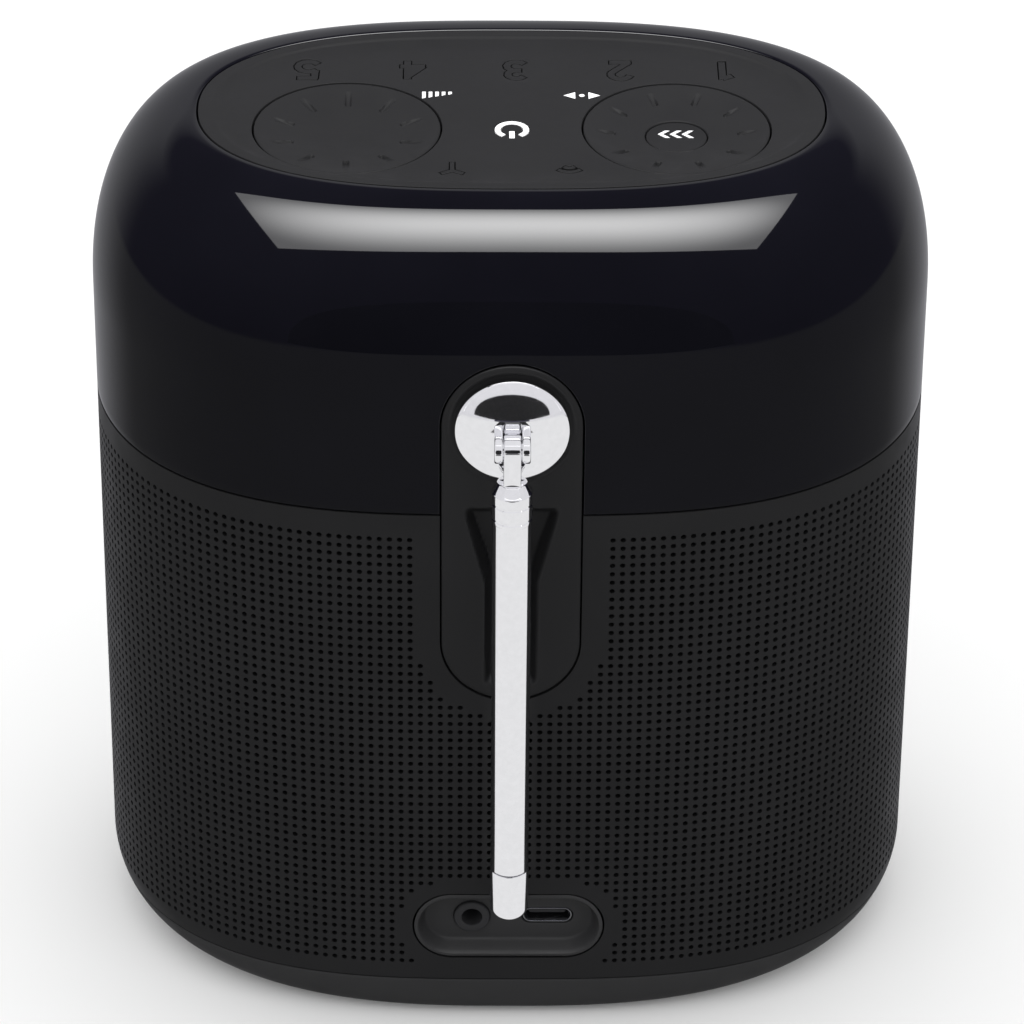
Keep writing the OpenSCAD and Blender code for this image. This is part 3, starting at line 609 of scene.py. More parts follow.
PITCH = 1.75
HOLE_R = 0.5
HOLE_ROWS = (13.6, 104.6)
SECTORS = 4
PLATE_MARGIN, RECESS_MARGIN = 4.1, 3.0  # from an opening to the nearest middle of a hole
CUT_REACH = 3.6  # cells without a hole are cut freely this near an opening


def grille_levels():
    """Heights of the edges of the cells, and of the lowest and highest edges with holes between them."""
    rows = int(round((HOLE_ROWS[1] - HOLE_ROWS[0]) / PITCH)) + 1
    pitch = (HOLE_ROWS[1] - HOLE_ROWS[0]) / (rows - 1)
    lines = HOLE_ROWS[0] + (np.arange(rows + 1) - 0.5) * pitch
    below = np.linspace(GRILLE_LOW[2], lines[0], 4)[:-1]
    above = np.linspace(lines[-1], GRILLE_HIGH[2], 4)[1:]
    return np.concatenate([below, lines, above]), lines[0], lines[-1]


def cell_kinds(columns, middles, low, high):
    """Which cells have a hole, and which are cut freely because an opening is near."""
    s, z = np.meshgrid(np.where(columns > GIRTH / 2, columns - GIRTH, columns), middles)
    xz = np.stack([s.ravel(), z.ravel()], -1)
    to_plate = -depth_in(xz, PLATE_W, PLATE_LOW[2], PLATE_HIGH[2]).reshape(s.shape)
    to_recess = -recess_depth_in(xz).reshape(s.shape)
    holed = (z > low) & (z < high) & (to_plate > PLATE_MARGIN) & (to_recess > RECESS_MARGIN)
    return holed, ~holed & ((to_plate < CUT_REACH) | (to_recess < CUT_REACH))


def holed_faces(base):
    """Faces between a cell's corners, from low left at base, and the octagon of its hole after them."""
    faces = []
    for q, corner in enumerate((2, 3, 0, 1)):
        a, b, c = base + 4 + 2 * q, base + 5 + 2 * q, base + 4 + (2 * q + 2) % 8
        k, after = base + corner, base + (corner + 1) % 4
        faces += [(a, k, b), (b, k, c), (c, k, after)]
    return faces


def corners_of(s0, s1, z0, z1):
    return [(s0, z0), (s1, z0), (s1, z1), (s0, z1)]


def cut_cells(cells):
    """A net through plain cells, without what lies in the openings for the plate and the ports."""
    edges = {}
    for cell in cells:
        p = corners_of(*cell)
        for a, b in zip(p, p[1:] + p[:1]):
            edges[tuple(sorted((tuple(np.round(a, 6)), tuple(np.round(b, 6)))))] = 1
    openings = [plate_outline(FIT_GAP), recess(-FIT_GAP, 0.6)]

    def keep(p):
        own = np.zeros(len(p), bool)
        for s0, s1, z0, z1 in cells:
            own |= (p[:, 0] > s0) & (p[:, 0] < s1) & (p[:, 1] > z0) & (p[:, 1] < z1)
        return own & ~inside(p, openings[0]) & ~inside(p, openings[1])

    return net([(np.array(e), False) for e in edges] + [(o, True) for o in openings], NO_POINTS, keep)


def thicken(sheet, wall):
    """Turns a sheet's faces outwards and gives it a wall."""
    bm = bmesh.new()
    bm.from_mesh(sheet.data)
    for face in bm.faces:
        middle = face.calc_center_median()
        if face.normal.dot(Vector((middle.x, middle.y, 0))) < 0:
            face.normal_flip()
    bm.to_mesh(sheet.data)
    bm.free()
    solidify = sheet.modifiers.new("wall", "SOLIDIFY")
    solidify.thickness = wall * MM
    solidify.offset = -1
    solid = bpy.data.meshes.new_from_object(sheet.evaluated_get(bpy.context.evaluated_depsgraph_get()))
    sheet.modifiers.clear()
    sheet.data = solid
    solid.shade_smooth()
    solid.set_sharp_from_angle(angle=math.radians(35))


def make_grille():
    """Sheets of square cells, most with a round hole. The first one spans the rear's centre line."""
    count = int(round(GIRTH / PITCH / 2)) * 2
    step = GIRTH / count
    levels, low, high = grille_levels()
    middles = (levels[1:] + levels[:-1]) / 2
    holed, free = cell_kinds(np.arange(count) * step, middles, low, high)
    octagon = np.radians(np.arange(8) * 45)
    shift = count // (2 * SECTORS)
    for sector in range(SECTORS):
        flat, faces, loose = [], [], []
        for c in range(sector * count // SECTORS - shift, (sector + 1) * count // SECTORS - shift):
            s0, s1 = (c - 0.5) * step, (c + 0.5) * step
            for r, z in enumerate(middles):
                cell = (s0, s1, levels[r], levels[r + 1])
                if free[r, c]:
                    loose.append(cell)
                    continue
                base = len(flat)
                flat.extend(corners_of(*cell))
                if not holed[r, c]:
                    faces.append((base, base + 1, base + 2, base + 3))
                    continue
                flat.extend(((s0 + s1) / 2 + HOLE_R * math.cos(a), z + HOLE_R * math.sin(a)) for a in octagon)
                faces += holed_faces(base)
        if loose:
            more, triangles = cut_cells(loose)
            faces.extend((triangles + len(flat)).tolist())
            flat.extend(map(tuple, more))
        flat = np.array(flat)
        sheet = piece(f"grille_sheet_{sector + 1}", side(flat[:, 0], flat[:, 1]), faces, GRILLE_PAINT,
                      replaces=["grille"], weld=0.01)
        thicken(sheet, GRILLE_WALL)


def body_ring(s, z, inset, lowest):
    """A level ring of the body's side, drawn in by an inset; below lowest it keeps the plan from there."""
    p = side(s, np.full(len(s), max(z, lowest)))
    p[:, :2] *= 1 - inset / BODY_HALF
    p[:, 2] = z
    return p


def make_scrim():
    """The acoustic cloth that lines the grille."""
    s = np.linspace(0, GIRTH, 260, endpoint=False)
    low, high = GRILLE_LOW[2] + 0.4, GRILLE_HIGH[2] - 0.4
    face, back = 1.35, 1.6
    section = [(face, low), (face, high), (back, high), (back, low), (face, low)]
    rings = [body_ring(s, z, inset, TUCK_Z - 3) for inset, z in section]
    points, faces = loft(rings, False, False)
    centre = np.array(points)[np.array(faces)].mean(1)
    rear = (np.abs(centre[:, 0]) < PLATE_W / 2 + 6) & (centre[:, 1] > 0)
    piece("scrim", points, np.array(faces)[~rear], SCRIM)


# ---- Base cover ----


def make_base():
    s = np.linspace(0, GIRTH, 360, endpoint=False)
    seam = GRILLE_LOW[2] - SEAM_GAP
    heights = [seam - HEM * (1 - math.cos(a)) for a in np.radians((0, 45, 90))]
    insets = [HEM * (1 - math.sin(a)) for a in np.radians((0, 45, 90))]
    fall = BASE_LOW[2] + (seam - HEM - BASE_LOW[2]) * (1 - np.sin(np.linspace(0, np.pi / 2, 22)))[1:]
    lap_depth, lap_inset = 2.4, 2.6
    section = [(seam - lap_depth, lap_inset), (seam, lap_inset), *zip(heights, insets)]
    section += [(z, 0) for z in fall]
    rings = [body_ring(s, z, inset, BASE_LOW[2] + 1e-4) for z, inset in section]
    low = rings[-1]
    mat = box_of("foot_mat")[1][:2] + 0.1
    for part in (0.12, 0.5, 1.0):
        p = low.copy()
        p[:, :2] = low[:, :2] * (1 - part) + oval(mat, FOOT_SQUARE, turn_at(s)) * part
        rings.append(p)
    up = rings[-1].copy()
    up[:, 2] += 0.6
    rings.append(up)
    points, faces = loft(rings[::-1], True, True)
    piece("base_cover_skin", points, faces, BASE_PLASTIC, replaces=["base_cover"])


# ---- Control panel ----

RIM = 2.3
KEY_HEM = 0.12
CAP_DEPTH = 3.4  # how far the panel's and the keys' walls go down
DIAL_HOLLOW = 1.8
GROOVES = 10
AXIS_R = 0.05  # a ring this small closes a turned surface at its axis


def panel_height(p):
    """The panel's top: a flat rim, a soft step down, and a wide shallow dish that rises to the step."""
    t = np.arctan2(np.sign(p[:, 1]) * np.abs(p[:, 1] / PANEL_HALF[1]) ** (PANEL_SQUARE[1] / 2),
                   np.sign(p[:, 0]) * np.abs(p[:, 0] / PANEL_HALF[0]) ** (PANEL_SQUARE[0] / 2))
    edge = np.hypot(*oval(PANEL_HALF, PANEL_SQUARE, t).T)
    reach = np.hypot(p[:, 0], p[:, 1])
    from_edge = (edge - reach) * np.clip(0.72 + 0.28 * np.abs(np.sin(t)), 0, 1)
    step = smooth((from_edge - RIM + 0.35) / 1.0)
    rise = 1 - smooth((from_edge - RIM) / 4.2)
    return TOP - (TOP - DISH) * step * (1 - 0.45 * rise)


def even_oval(half, square, count):
    """An oval's outline in points that are evenly spaced along it."""
    line = oval(half, square, close_turns(square, 2000)[:-1])
    span = np.concatenate([[0], np.cumsum(np.linalg.norm(np.diff(line, axis=0), axis=1))])
    even = np.linspace(0, span[-1], count, endpoint=False)
    return np.stack([np.interp(even, span, line[:, 0]), np.interp(even, span, line[:, 1])], -1)


def make_panel():
    outer = even_oval(PANEL_HALF, PANEL_SQUARE, 380)
    insets = [HEM, 0.5] + [RIM + d for d in (-0.6, -0.3, 0, 0.3, 0.7, 1.3, 2.2, 3.4, 4.8)]
    loops = [(grow(outer, -inset), True) for inset in insets]
    holes = []
    for hole in outline_of("top_panel", DISH):
        width = np.ptp(hole[:, 0])
        if width > 60:  # the rim's own edge
            continue
        if width > 25:  # a dial's opening
            centre = (hole.max(0) + hole.min(0)) / 2
            hole = ring(centre, width / 2, 150)
            out = (hole - centre) / (width / 2)
            loops.append((hole + out * (HEM + 0.5), True))
            grown = hole + out * HEM
        else:
            grown = grow(hole, KEY_HEM)
        holes.append(grown)
        loops.append((grown, True))
    grid = lattice((-PANEL_HALF[0], PANEL_HALF[0]), (-PANEL_HALF[1], PANEL_HALF[1]), 0.9)
    grid = grid[inside(grid, grow(outer, -RIM - 5.2))]
    for hole in holes:
        grid = grid[~inside(grid, grow(hole, 0.4))]

    def keep(c):
        kept = inside(c, loops[0][0])
        for hole in holes:
            kept &= ~inside(c, hole)
        return kept

    flat, faces = net(loops, grid, keep)
    points = np.concatenate([flat, panel_height(flat)[:, None]], 1)
    piece("panel_skin", points, facing(points, faces, (0, 0, 1)), PANEL_RUBBER, replaces=["top_panel"],
          hemmed=(KEY_HEM, CAP_DEPTH), sharp=45)


def key_cap(node, material):
    """A key's raised symbol with a soft edge, as deep as the panel."""
    points, faces = [], []
    top = box_of(node)[1][2]
    for loop in outline_of(node, DISH):
        line = grow(loop, -KEY_HEM)
        flat, triangles = net([(line, True)], NO_POINTS, lambda c, line=line: inside(c, line))
        base = len(points)
        level = np.concatenate([flat, np.full((len(flat), 1), top)], 1)
        points.extend(level.tolist())
        faces.extend((facing(level, triangles, (0, 0, 1)) + base).tolist())
    piece(node + "_cap", points, faces, material, node, hemmed=(KEY_HEM, CAP_DEPTH),
          replaces=[node])


def dial_surface(r, turn, radius, groove, first):
    """Height of a dial's top: a shallow bowl with scooped finger grooves."""
    z = DISH - DIAL_HOLLOW * (1 - (r / radius) ** 2)
    lip = np.clip((r - (radius - 0.5)) / 0.5, 0, 1)
    z = z - 0.28 * (1 - np.sqrt(1 - lip**2))
    step = 2 * np.pi / GROOVES
    swing = np.mod(turn - first + step / 2, step) - step / 2
    across = r * np.sin(swing)
    length = groove[1] - groove[0]
    along = (r * np.cos(swing) / radius - groove[0]) / length
    half, depth = 0.62, 0.62
    wall = smooth((half - np.abs(across)) / 0.3)
    round_end = np.sqrt(np.clip(half**2 - across**2, 0, None)) - half
    inner = smooth((along * length * radius + round_end + 0.1) / 0.35)
    fade = np.clip(1 - along, 0, 1) ** 0.8
    return z - depth * wall * inner * fade * (along < 1)


def make_dial(node, groove, first, bore):
    """A dial whose grooves run between two parts of its radius, with a bore for a button or 0."""
    low, high = box_of(node)
    centre = (low + high) / 2
    radius = (high[0] - low[0]) / 2
    turn = np.linspace(0, 2 * np.pi, 480, endpoint=False)
    lip = 0.2
    radii = np.concatenate([
        np.linspace(bore + lip if bore else AXIS_R, radius * groove[0] - 0.8, 16),
        np.linspace(radius * groove[0] - 0.7, radius * groove[1] + 0.2, 34),
        np.linspace(radius * groove[1] + 0.4, radius - 0.5, 7),
        radius - 0.5 * (1 - np.sin(np.linspace(0.15, 1, 7) * np.pi / 2))])

    def level(r, z):
        around = [centre[0] + r * np.cos(turn), centre[1] + r * np.sin(turn), np.broadcast_to(z, turn.shape)]
        return np.stack(around, -1)

    rings = []
    if bore:
        edge_z = DISH - DIAL_HOLLOW * (1 - (bore / radius) ** 2)
        seat = edge_z - 1.1
        rings += [level(AXIS_R, seat), level(bore, seat)]
        for a in np.radians((90, 45)):
            rings.append(level(bore + lip * (1 - math.sin(a)), edge_z - lip * (1 - math.cos(a))))
    for r in radii:
        rings.append(level(r, dial_surface(np.full(len(turn), r), turn, radius, groove, first)))
    floor = DISH - 3.3
    rings += [level(radius, floor), level(AXIS_R, floor)]
    points, faces = loft(rings)
    piece(node + "_face", points, np.array(faces, dtype=object), PANEL_RUBBER, node, replaces=[node],
          sharp=50)


def make_scan():
    low, high = box_of("scan_button")
    centre, radius = (low + high) / 2, (high[0] - low[0]) / 2
    top, under, round_r, stem_r = high[2], high[2] - 0.65, 0.2, 1.6
    profile = [(0, low[2]), (stem_r, low[2]), (stem_r, under), (radius, under), (radius, top - round_r)]
    profile += fillet((radius - round_r, top - round_r), round_r, 0, 90)[1:]
    dip = np.linspace(radius - 0.5, 0, 8)
    profile += [(r, top - 0.22 * (1 - (r / (radius - round_r)) ** 2)) for r in dip]
    points, faces = lathe(profile, 120)
    piece("scan_cap", points + (centre[0], centre[1], 0), faces, KEY_RUBBER, "scan_button",
          replaces=["scan_button"])


def mark(name, shapes, z, body=HOUSING, rise=0.02):
    """Printed symbols: thin pads a hair above a surface at height z."""
    points, faces = [], []
    for shape in shapes:
        shape = np.array(shape, float)
        base, count = len(points), len(shape)
        for height in (z + rise, z - 0.05):
            points += np.concatenate([shape, np.full((count, 1), height)], 1).tolist()
        area = np.sum(shape[:, 0] * np.roll(shape[:, 1], -1) - shape[:, 1] * np.roll(shape[:, 0], -1))
        order = list(range(count)) if area > 0 else list(range(count))[::-1]
        faces.append([base + i for i in order])
        faces.append([base + count + i for i in order[::-1]])
        for a, b in zip(order, order[1:] + order[:1]):
            faces.append([base + a, base + count + a, base + count + b, base + b])
    piece(name, points, faces, WHITE_INK, body, weld=0)


def bars(centre, width, height, count):
    """Rising bars, for loudness."""
    step = width / (count - 0.45)
    foot = centre[1] - height / 2
    made = []
    for i in range(count):
        left = centre[0] - width / 2 + i * step
        right = left + 0.55 * step
        near, far = (foot + height * (0.3 + 0.7 * k / count) for k in (i, i + 1))
        made.append([(left, foot), (right, foot), (right, far), (left, near)])
    return made


def arrows(centre, width, height):
    """Two arrowheads that point apart and a dot between them, for tuning."""
    head = height * 0.85
    made = [ring(centre, height * 0.2, 20).tolist()]
    for way in (-1, 1):
        tip = centre[0] + way * width / 2
        tail = tip - way * head
        made.append([(tip, centre[1]), (tail, centre[1] + height / 2), (tail, centre[1] - height / 2)])
    return made


def chevrons(centre, width, height, count, stroke=0.62):
    """Pointed strokes in a row, for scanning."""
    step = (width - height / 2 - stroke) / (count - 1)
    low, high = centre[1] - height / 2, centre[1] + height / 2
    thick = stroke * 1.3
    made = []
    for i in range(count):
        x = centre[0] - width / 2 + i * step
        point = x + height / 2
        made.append([(x, low), (x + thick, low), (point + thick, centre[1]),
                     (x + thick, high), (x, high), (point, centre[1])])
    return made


make_panel()
make_dial("volume_dial", (0.6, 0.86), math.pi / 2, 0)
make_dial("tune_dial", (0.65, 0.87), 0, 5.48)
make_scan()
for n in range(1, 6):
    key_cap(f"preset_key_{n}", KEY_RUBBER)
key_cap("band_key", KEY_RUBBER)
key_cap("wireless_key", KEY_RUBBER)
key_cap("power_key", WHITE_INK)

DIAL_X, DIAL_Y = sum(box_of("volume_dial"))[:2] / 2
LABEL_Y = DIAL_Y - 11.8
mark("loudness_mark", bars((DIAL_X - 15.5, LABEL_Y), 5.2, 2.5, 5), DISH)
mark("tuning_mark", arrows((16.2 - DIAL_X, LABEL_Y), 6.4, 2.4), DISH)
SCAN_FACE = box_of("scan_button")[1][2] - 0.1
mark("scan_mark", chevrons((-DIAL_X, DIAL_Y - 1.2), 6.0, 2.5, 3), SCAN_FACE, "scan_button", 0.05)


# ---- Rear plate ----

SCOOP_TOP, SCOOP_NECK, SCOOP_TURN, SCOOP_LOW = 111.2, 96.0, 84.0, 74.6
SCOOP_HALF, CHANNEL_HALF = 8.3, 4.4
SCOOP_DEPTHS = (1.7, 2.7, 3.7, 5.2, 3.4)
SHAFT_BORE_R = 3.2
SWIVEL_LOW, SWIVEL_HIGH = box_of("antenna_swivel")
SWIVEL_Z = (SWIVEL_LOW[2] + SWIVEL_HIGH[2]) / 2
DOME_R = (SWIVEL_HIGH[2] - SWIVEL_LOW[2]) / 2


def plate_depth(p):
    """How far the plate's face lies in front of its flat rear: pillowed edge, dome's seat, scoop, channel."""
    x, z = np.abs(p[:, 0]), p[:, 1]
    edge = depth_in(p, PLATE_W, PLATE_LOW[2], PLATE_HIGH[2])
    pillow = 0.3 * np.exp(-edge / 0.5)
    from_axis = np.hypot(p[:, 0], z - SWIVEL_Z)
    seat = 0.55 * smooth((DOME_R + 1.3 - from_axis) / 0.8)
    half = np.interp(z, (SCOOP_NECK, SCOOP_TOP), (CHANNEL_HALF, SCOOP_HALF))
    lean = np.where((z > SCOOP_NECK) & (z < SCOOP_TOP), 0.968, 1)
    across = (half - x) * lean
    wall = smooth((across + 0.25) / 1.35)
    heights = (SCOOP_LOW, SCOOP_TURN - 3, SCOOP_NECK - 3, SCOOP_NECK + 3, SCOOP_TOP - 3)
    floor = np.interp(z, heights, SCOOP_DEPTHS)
    ends = smooth((SCOOP_TOP + 0.6 - z) / 3.6) * smooth((z - SCOOP_LOW) / 1.4)
    return pillow + seat + floor * wall * ends


def make_plate():
    width, low, high = PLATE_W - 2 * HEM, PLATE_LOW[2] + HEM, PLATE_HIGH[2] - HEM
    loops = [(stadium(width - 2 * d, low + d, high - d, 0.5), True) for d in (0, 0.25, 0.55, 0.95, 1.5)]
    loops.append((ring((0, SWIVEL_Z), SHAFT_BORE_R, 48), True))

    def from_shaft(p):
        return np.hypot(p[:, 0], p[:, 1] - SWIVEL_Z)

    grid = lattice((-PLATE_W / 2, PLATE_W / 2), (PLATE_LOW[2], PLATE_HIGH[2]), 0.36)
    grid = grid[depth_in(grid, PLATE_W, PLATE_LOW[2], PLATE_HIGH[2]) > 2.1]
    grid = grid[from_shaft(grid) > SHAFT_BORE_R + 0.3]
    flat, faces = net(loops, grid,
                      lambda c: (depth_in(c, width, low, high) > 0) & (from_shaft(c) > SHAFT_BORE_R))
    points = np.stack([flat[:, 0], REAR - plate_depth(flat), flat[:, 1]], -1)
    piece("rear_plate_skin", points, facing(points, faces, (0, 1, 0)), REAR_PLASTIC, replaces=["rear_plate"],
          hemmed=(HEM, 3.0), sharp=55)


# ---- Ports ----

RECESS_DEPTH = 3.2
BEZEL_HEM = 0.15
AUX_OPENING_R = 3.3
USB_OPENING_W, USB_OPENING_H = 9.4, 3.5
AUX_LOW, AUX_HIGH = box_of("aux_jack")
AUX_X = (AUX_LOW[0] + AUX_HIGH[0]) / 2
USB_LOW, USB_HIGH = box_of("usb_socket")
USB_X = (USB_LOW[0] + USB_HIGH[0]) / 2


def bezel_depth(p):
    """How far the bezel's face lies in front of the flat rear: a soft brim and the recess."""
    d = recess_depth_in(p)
    brim = 0.22 * np.exp(-d / 0.3)
    return brim + RECESS_DEPTH * smooth((d - 0.75) / 1.5) ** 0.85


def make_bezel():
    loops = [(recess(d), True) for d in (HEM, 0.45, 0.75, 0.95, 1.15, 1.35, 1.6, 1.85, 2.1, 2.3)]
    usb_half = USB_OPENING_W / 2 + BEZEL_HEM
    usb = stadium(USB_OPENING_H + 2 * BEZEL_HEM, -usb_half, usb_half, 0.25, upright=False)
    holes = [ring((AUX_X, RECESS_Z), AUX_OPENING_R + BEZEL_HEM, 72), usb + (USB_X, RECESS_Z)]
    grid = lattice((-16, 16), (RECESS_Z - 6, RECESS_Z + 6), 0.7)
    grid = grid[inside(grid, recess(2.7))]
    for hole in holes:
        grid = grid[~inside(grid, grow(hole, 0.35))]
    flat, faces = net(loops + [(h, True) for h in holes], grid,
                      lambda c: inside(c, loops[0][0]) & ~inside(c, holes[0]) & ~inside(c, holes[1]))
    points = np.stack([flat[:, 0], REAR - bezel_depth(flat), flat[:, 1]], -1)
    piece("port_bezel_skin", points, facing(points, faces, (0, 1, 0)), BASE_PLASTIC, replaces=["port_bezel"],
          hemmed=(BEZEL_HEM, 1.4), sharp=55)


def make_jack():
    front, bore_r, collar_r = AUX_HIGH[1], 1.8, 3.25
    inner_round, outer_round = 0.25, 0.3
    bore_end = front - 11.5
    profile = [(0, bore_end), (bore_r, bore_end), (bore_r, front - inner_round)]
    profile += fillet((bore_r + inner_round, front - inner_round), inner_round, 180, 90)[1:]
    profile += fillet((collar_r - outer_round, front - outer_round), outer_round, 90, 0)
    profile += [(collar_r, front - 3.0), (0, bore_end - 0.9)]
    points, faces = lathe(profile[::-1], 96)
    piece("aux_collar", to_rear(points, (AUX_X, RECESS_Z)), faces, COMPONENT, replaces=["aux_jack"],
          sharp=40)


def usb_loft(line, section):
    """An (x, z) outline lofted through the (inset, depth) pairs of a section, in the socket's place."""
    rings = []
    for inset, y in section:
        way = grow(line, -inset)
        rings.append(np.stack([way[:, 0] + USB_X, np.full(len(way), y), way[:, 1] + RECESS_Z], -1))
    return loft(rings)


def make_usb():
    front, wall = USB_HIGH[1] - 0.1, 0.3
    lip = [(0, -0.1), (0.03, -0.03), (0.1, 0), (0.2, 0), (wall - 0.03, -0.03), (wall, -0.1)]
    section = [(inset, front + y) for inset, y in [(0, -6.8), *lip, (wall, -6.2)]]
    points, faces = usb_loft(stadium(3.16, -4.47, 4.47, 0.22, upright=False), section)
    piece("usb_shell", points, faces, NICKEL, replaces=["usb_socket"], sharp=40)
    section = [(inset, front + y) for inset, y in ((0, -6.3), (0, -1.35), (0.05, -1.22), (0.15, -1.2))]
    points, faces = usb_loft(stadium(0.7, -3.35, 3.35, 0.12, upright=False), section)
    piece("usb_tongue", points, faces, COMPONENT)


# ---- Antenna ----

KNUCKLE_LOW, KNUCKLE_HIGH = box_of("antenna_knuckle")
PIN_Y = (KNUCKLE_LOW[1] + KNUCKLE_HIGH[1]) / 2
FERRULE_R = (KNUCKLE_HIGH[1] - KNUCKLE_LOW[1]) / 2
TUBE_WALL = 0.35
SECTION_STEP = 0.4  # each section's radius is this much less than the one round it
TIP_PROUD = 0.085


def merge(*shapes):
    points, faces = [], []
    for p, f in shapes:
        faces += [[int(i) + len(points) for i in face] for face in f]
        points += np.asarray(p).tolist()
    return np.array(points), faces


def slab(line, low, high, r, steps=3):
    """A closed outline in (y, z) pulled along X, with rounded edges."""
    turns = np.linspace(0, np.pi / 2, steps + 1)
    section = [(low + r * (1 - math.cos(a)), r * (1 - math.sin(a))) for a in turns]
    section += [(high - r * (1 - math.cos(a)), r * (1 - math.sin(a))) for a in turns[::-1]]
    rings = [(x, grow(line, -inset)) for x, inset in section]
    return loft([np.stack([np.full(len(way), x), way[:, 0], way[:, 1]], -1) for x, way in rings])


def lug(y0, z0, r, y1, half):
    """Outline of an ear: an eye round (y0, z0) that runs back to y1 with a half height."""
    a = np.linspace(-np.pi / 2, np.pi / 2, 25)
    eye = np.stack([y0 + r * np.cos(a), z0 + r * np.sin(a)], -1)
    return np.concatenate([eye, [[y1, z0 + half], [y1, z0 - half]]])


def make_swivel():
    rim, back, edge_round = REAR + 1.1, REAR + 0.3, 0.25
    cap = 2.6
    cap_r = (DOME_R**2 + cap**2) / (2 * cap)
    shaft_r, shaft_end = 2.9, 37
    profile = [(0, shaft_end), (shaft_r, shaft_end), (shaft_r, back), (DOME_R - edge_round, back)]
    profile += fillet((DOME_R - edge_round, back + edge_round), edge_round, -90, 0)[1:]
    lean = math.asin((DOME_R - 0.3) / cap_r)
    profile += [(DOME_R, rim - 0.25), (DOME_R - 0.06, rim - 0.05), (DOME_R - 0.17, rim + 0.06)]
    for a in np.linspace(lean * 0.985, 0, 40):
        profile.append((cap_r * math.sin(a), rim + cap - cap_r + cap_r * math.cos(a)))
    dome = lathe(profile, 160)
    dome = (to_rear(dome[0], (0, SWIVEL_Z)), dome[1])
    fork_in, fork_out, fork_r = 1.65, 3.1, 2.6
    foot, foot_round = PIN_Y - fork_r - 0.35, 0.3
    profile = [(0, rim + 1), (fork_out + foot_round, rim + 1)]
    profile += fillet((fork_out, foot - foot_round), foot_round, 0, 90) + [(0, foot)]
    base = lathe(profile, 72)
    base = (to_rear(base[0], (0, SWIVEL_Z)), base[1])
    ear = lug(PIN_Y, SWIVEL_Z, fork_r, rim + 1.3, fork_r)
    ears = [slab(ear, -fork_out, -fork_in, 0.3), slab(ear, fork_in, fork_out, 0.3)]
    points, faces = merge(dome, base, *ears)
    piece("swivel_chrome", points, faces, CHROME, "antenna_swivel", replaces=["antenna_swivel"],
          weld=0)


def make_knuckle():
    low, r = KNUCKLE_LOW[2], FERRULE_R
    top = low + 6.7
    profile = [(0, low + 4), (r - 0.5, low + 4), (r - 0.17, low + 0.02)]
    profile += fillet((r - 0.1, low + 0.12), 0.1, -90, 0)
    for z in (low + 0.9, low + 3.8):
        profile += [(r, z - 0.28), (r - 0.16, z - 0.12), (r - 0.16, z + 0.12), (r, z + 0.28)]
    profile += fillet((r - 0.4, top - 1.0), 0.4, 0, 60)
    profile += [(2.9, top + 0.1), (2.55, top + 0.9), (2.3, top + 1.1), (0, top + 1.15)]
    ferrule = lathe(profile, 96)
    ferrule = (ferrule[0] + (0, PIN_Y, 0), ferrule[1])
    a, eye_r = np.linspace(0, np.pi, 25), 2.3
    eye = np.stack([PIN_Y + eye_r * np.cos(a), SWIVEL_Z + eye_r * np.sin(a)], -1)
    left, right = PIN_Y - 1.9, PIN_Y + 1.9
    root = [(left, top + 3), (left, top), (right, top), (right, top + 3)]
    tongue = slab(np.concatenate([eye, root]), -1.5, 1.5, 0.3)
    points, faces = merge(ferrule, tongue)
    piece("knuckle_chrome", points, faces, CHROME, "antenna_arm", replaces=["antenna_knuckle"],
          weld=0)


def make_tube(node, body):
    low, high = box_of(node)
    r, lip = (high[0] - low[0]) / 2, 0.08
    bore = r - TUBE_WALL
    profile = [(bore, high[2]), (bore, low[2] + lip), (bore + lip, low[2]), (r - lip, low[2])]
    profile += fillet((r - lip, low[2] + lip), lip, -90, 0)[1:] + [(r, high[2]), (bore, high[2])]
    points, faces = lathe(profile, 96)
    section_faces = faces[:-2]  # the caps would close the bore
    piece(node + "_chrome", points + (0, PIN_Y, 0), section_faces, CHROME, body, replaces=[node])


def make_tip():
    low, high = box_of("antenna_tip")
    r = (high[0] - low[0]) / 2
    shaft = r - TIP_PROUD - 5 * SECTION_STEP
    shoulder = box_of("antenna_tube_1")[0][2] - 0.2
    round_r = 2.2
    profile = [(0, low[2]), (r - round_r - 0.6, low[2] + 0.02)]
    for a in np.linspace(0.1, np.pi / 2, 10):
        profile.append((r - round_r * (1 - math.sin(a)), low[2] + round_r * (1 - math.cos(a))))
    profile += [(r, shoulder - 0.12), (r - 0.04, shoulder - 0.03), (r - 0.12, shoulder)]
    profile += [(shaft, shoulder), (shaft, high[2]), (0, high[2])]
    points, faces = lathe(profile, 96)
    piece("tip_chrome", points + (0, PIN_Y, 0), faces, CHROME, "antenna_tip", replaces=["antenna_tip"])


make_shell()
make_grille()
make_scrim()
make_base()
make_plate()
make_bezel()
make_jack()
make_usb()
make_swivel()
make_knuckle()
make_tube("antenna_tube_1", "antenna_arm")
for n in range(2, 6):
    make_tube(f"antenna_tube_{n}", f"antenna_tube_{n}")
make_tip()


# ---- Studio: floor, lights and camera ----

TABLE_TONE = (0.14, 0.14, 0.14)
ROOM_TONE = (0.045, 0.042, 0.065)
BACK_TONE = (0.36, 0.36, 0.38)
SOFT_LIGHT = (1.35, 1.35, 1.35)
WHITE = (1, 1, 1)
TABLE_EDGE = (-0.23, -0.2)  # these three are spans of a direction's height, or of its Y
BACK_FADE = (-0.8, -0.3)
BACK_TOP = (0.46, 0.56)
LAMP_POWER = 4  # an area lamp's radiance is its energy over four times its area
MIX_FIRST, MIX_SECOND, MIX_OUT = 6, 7, 2  # a Mix node's sockets for colours


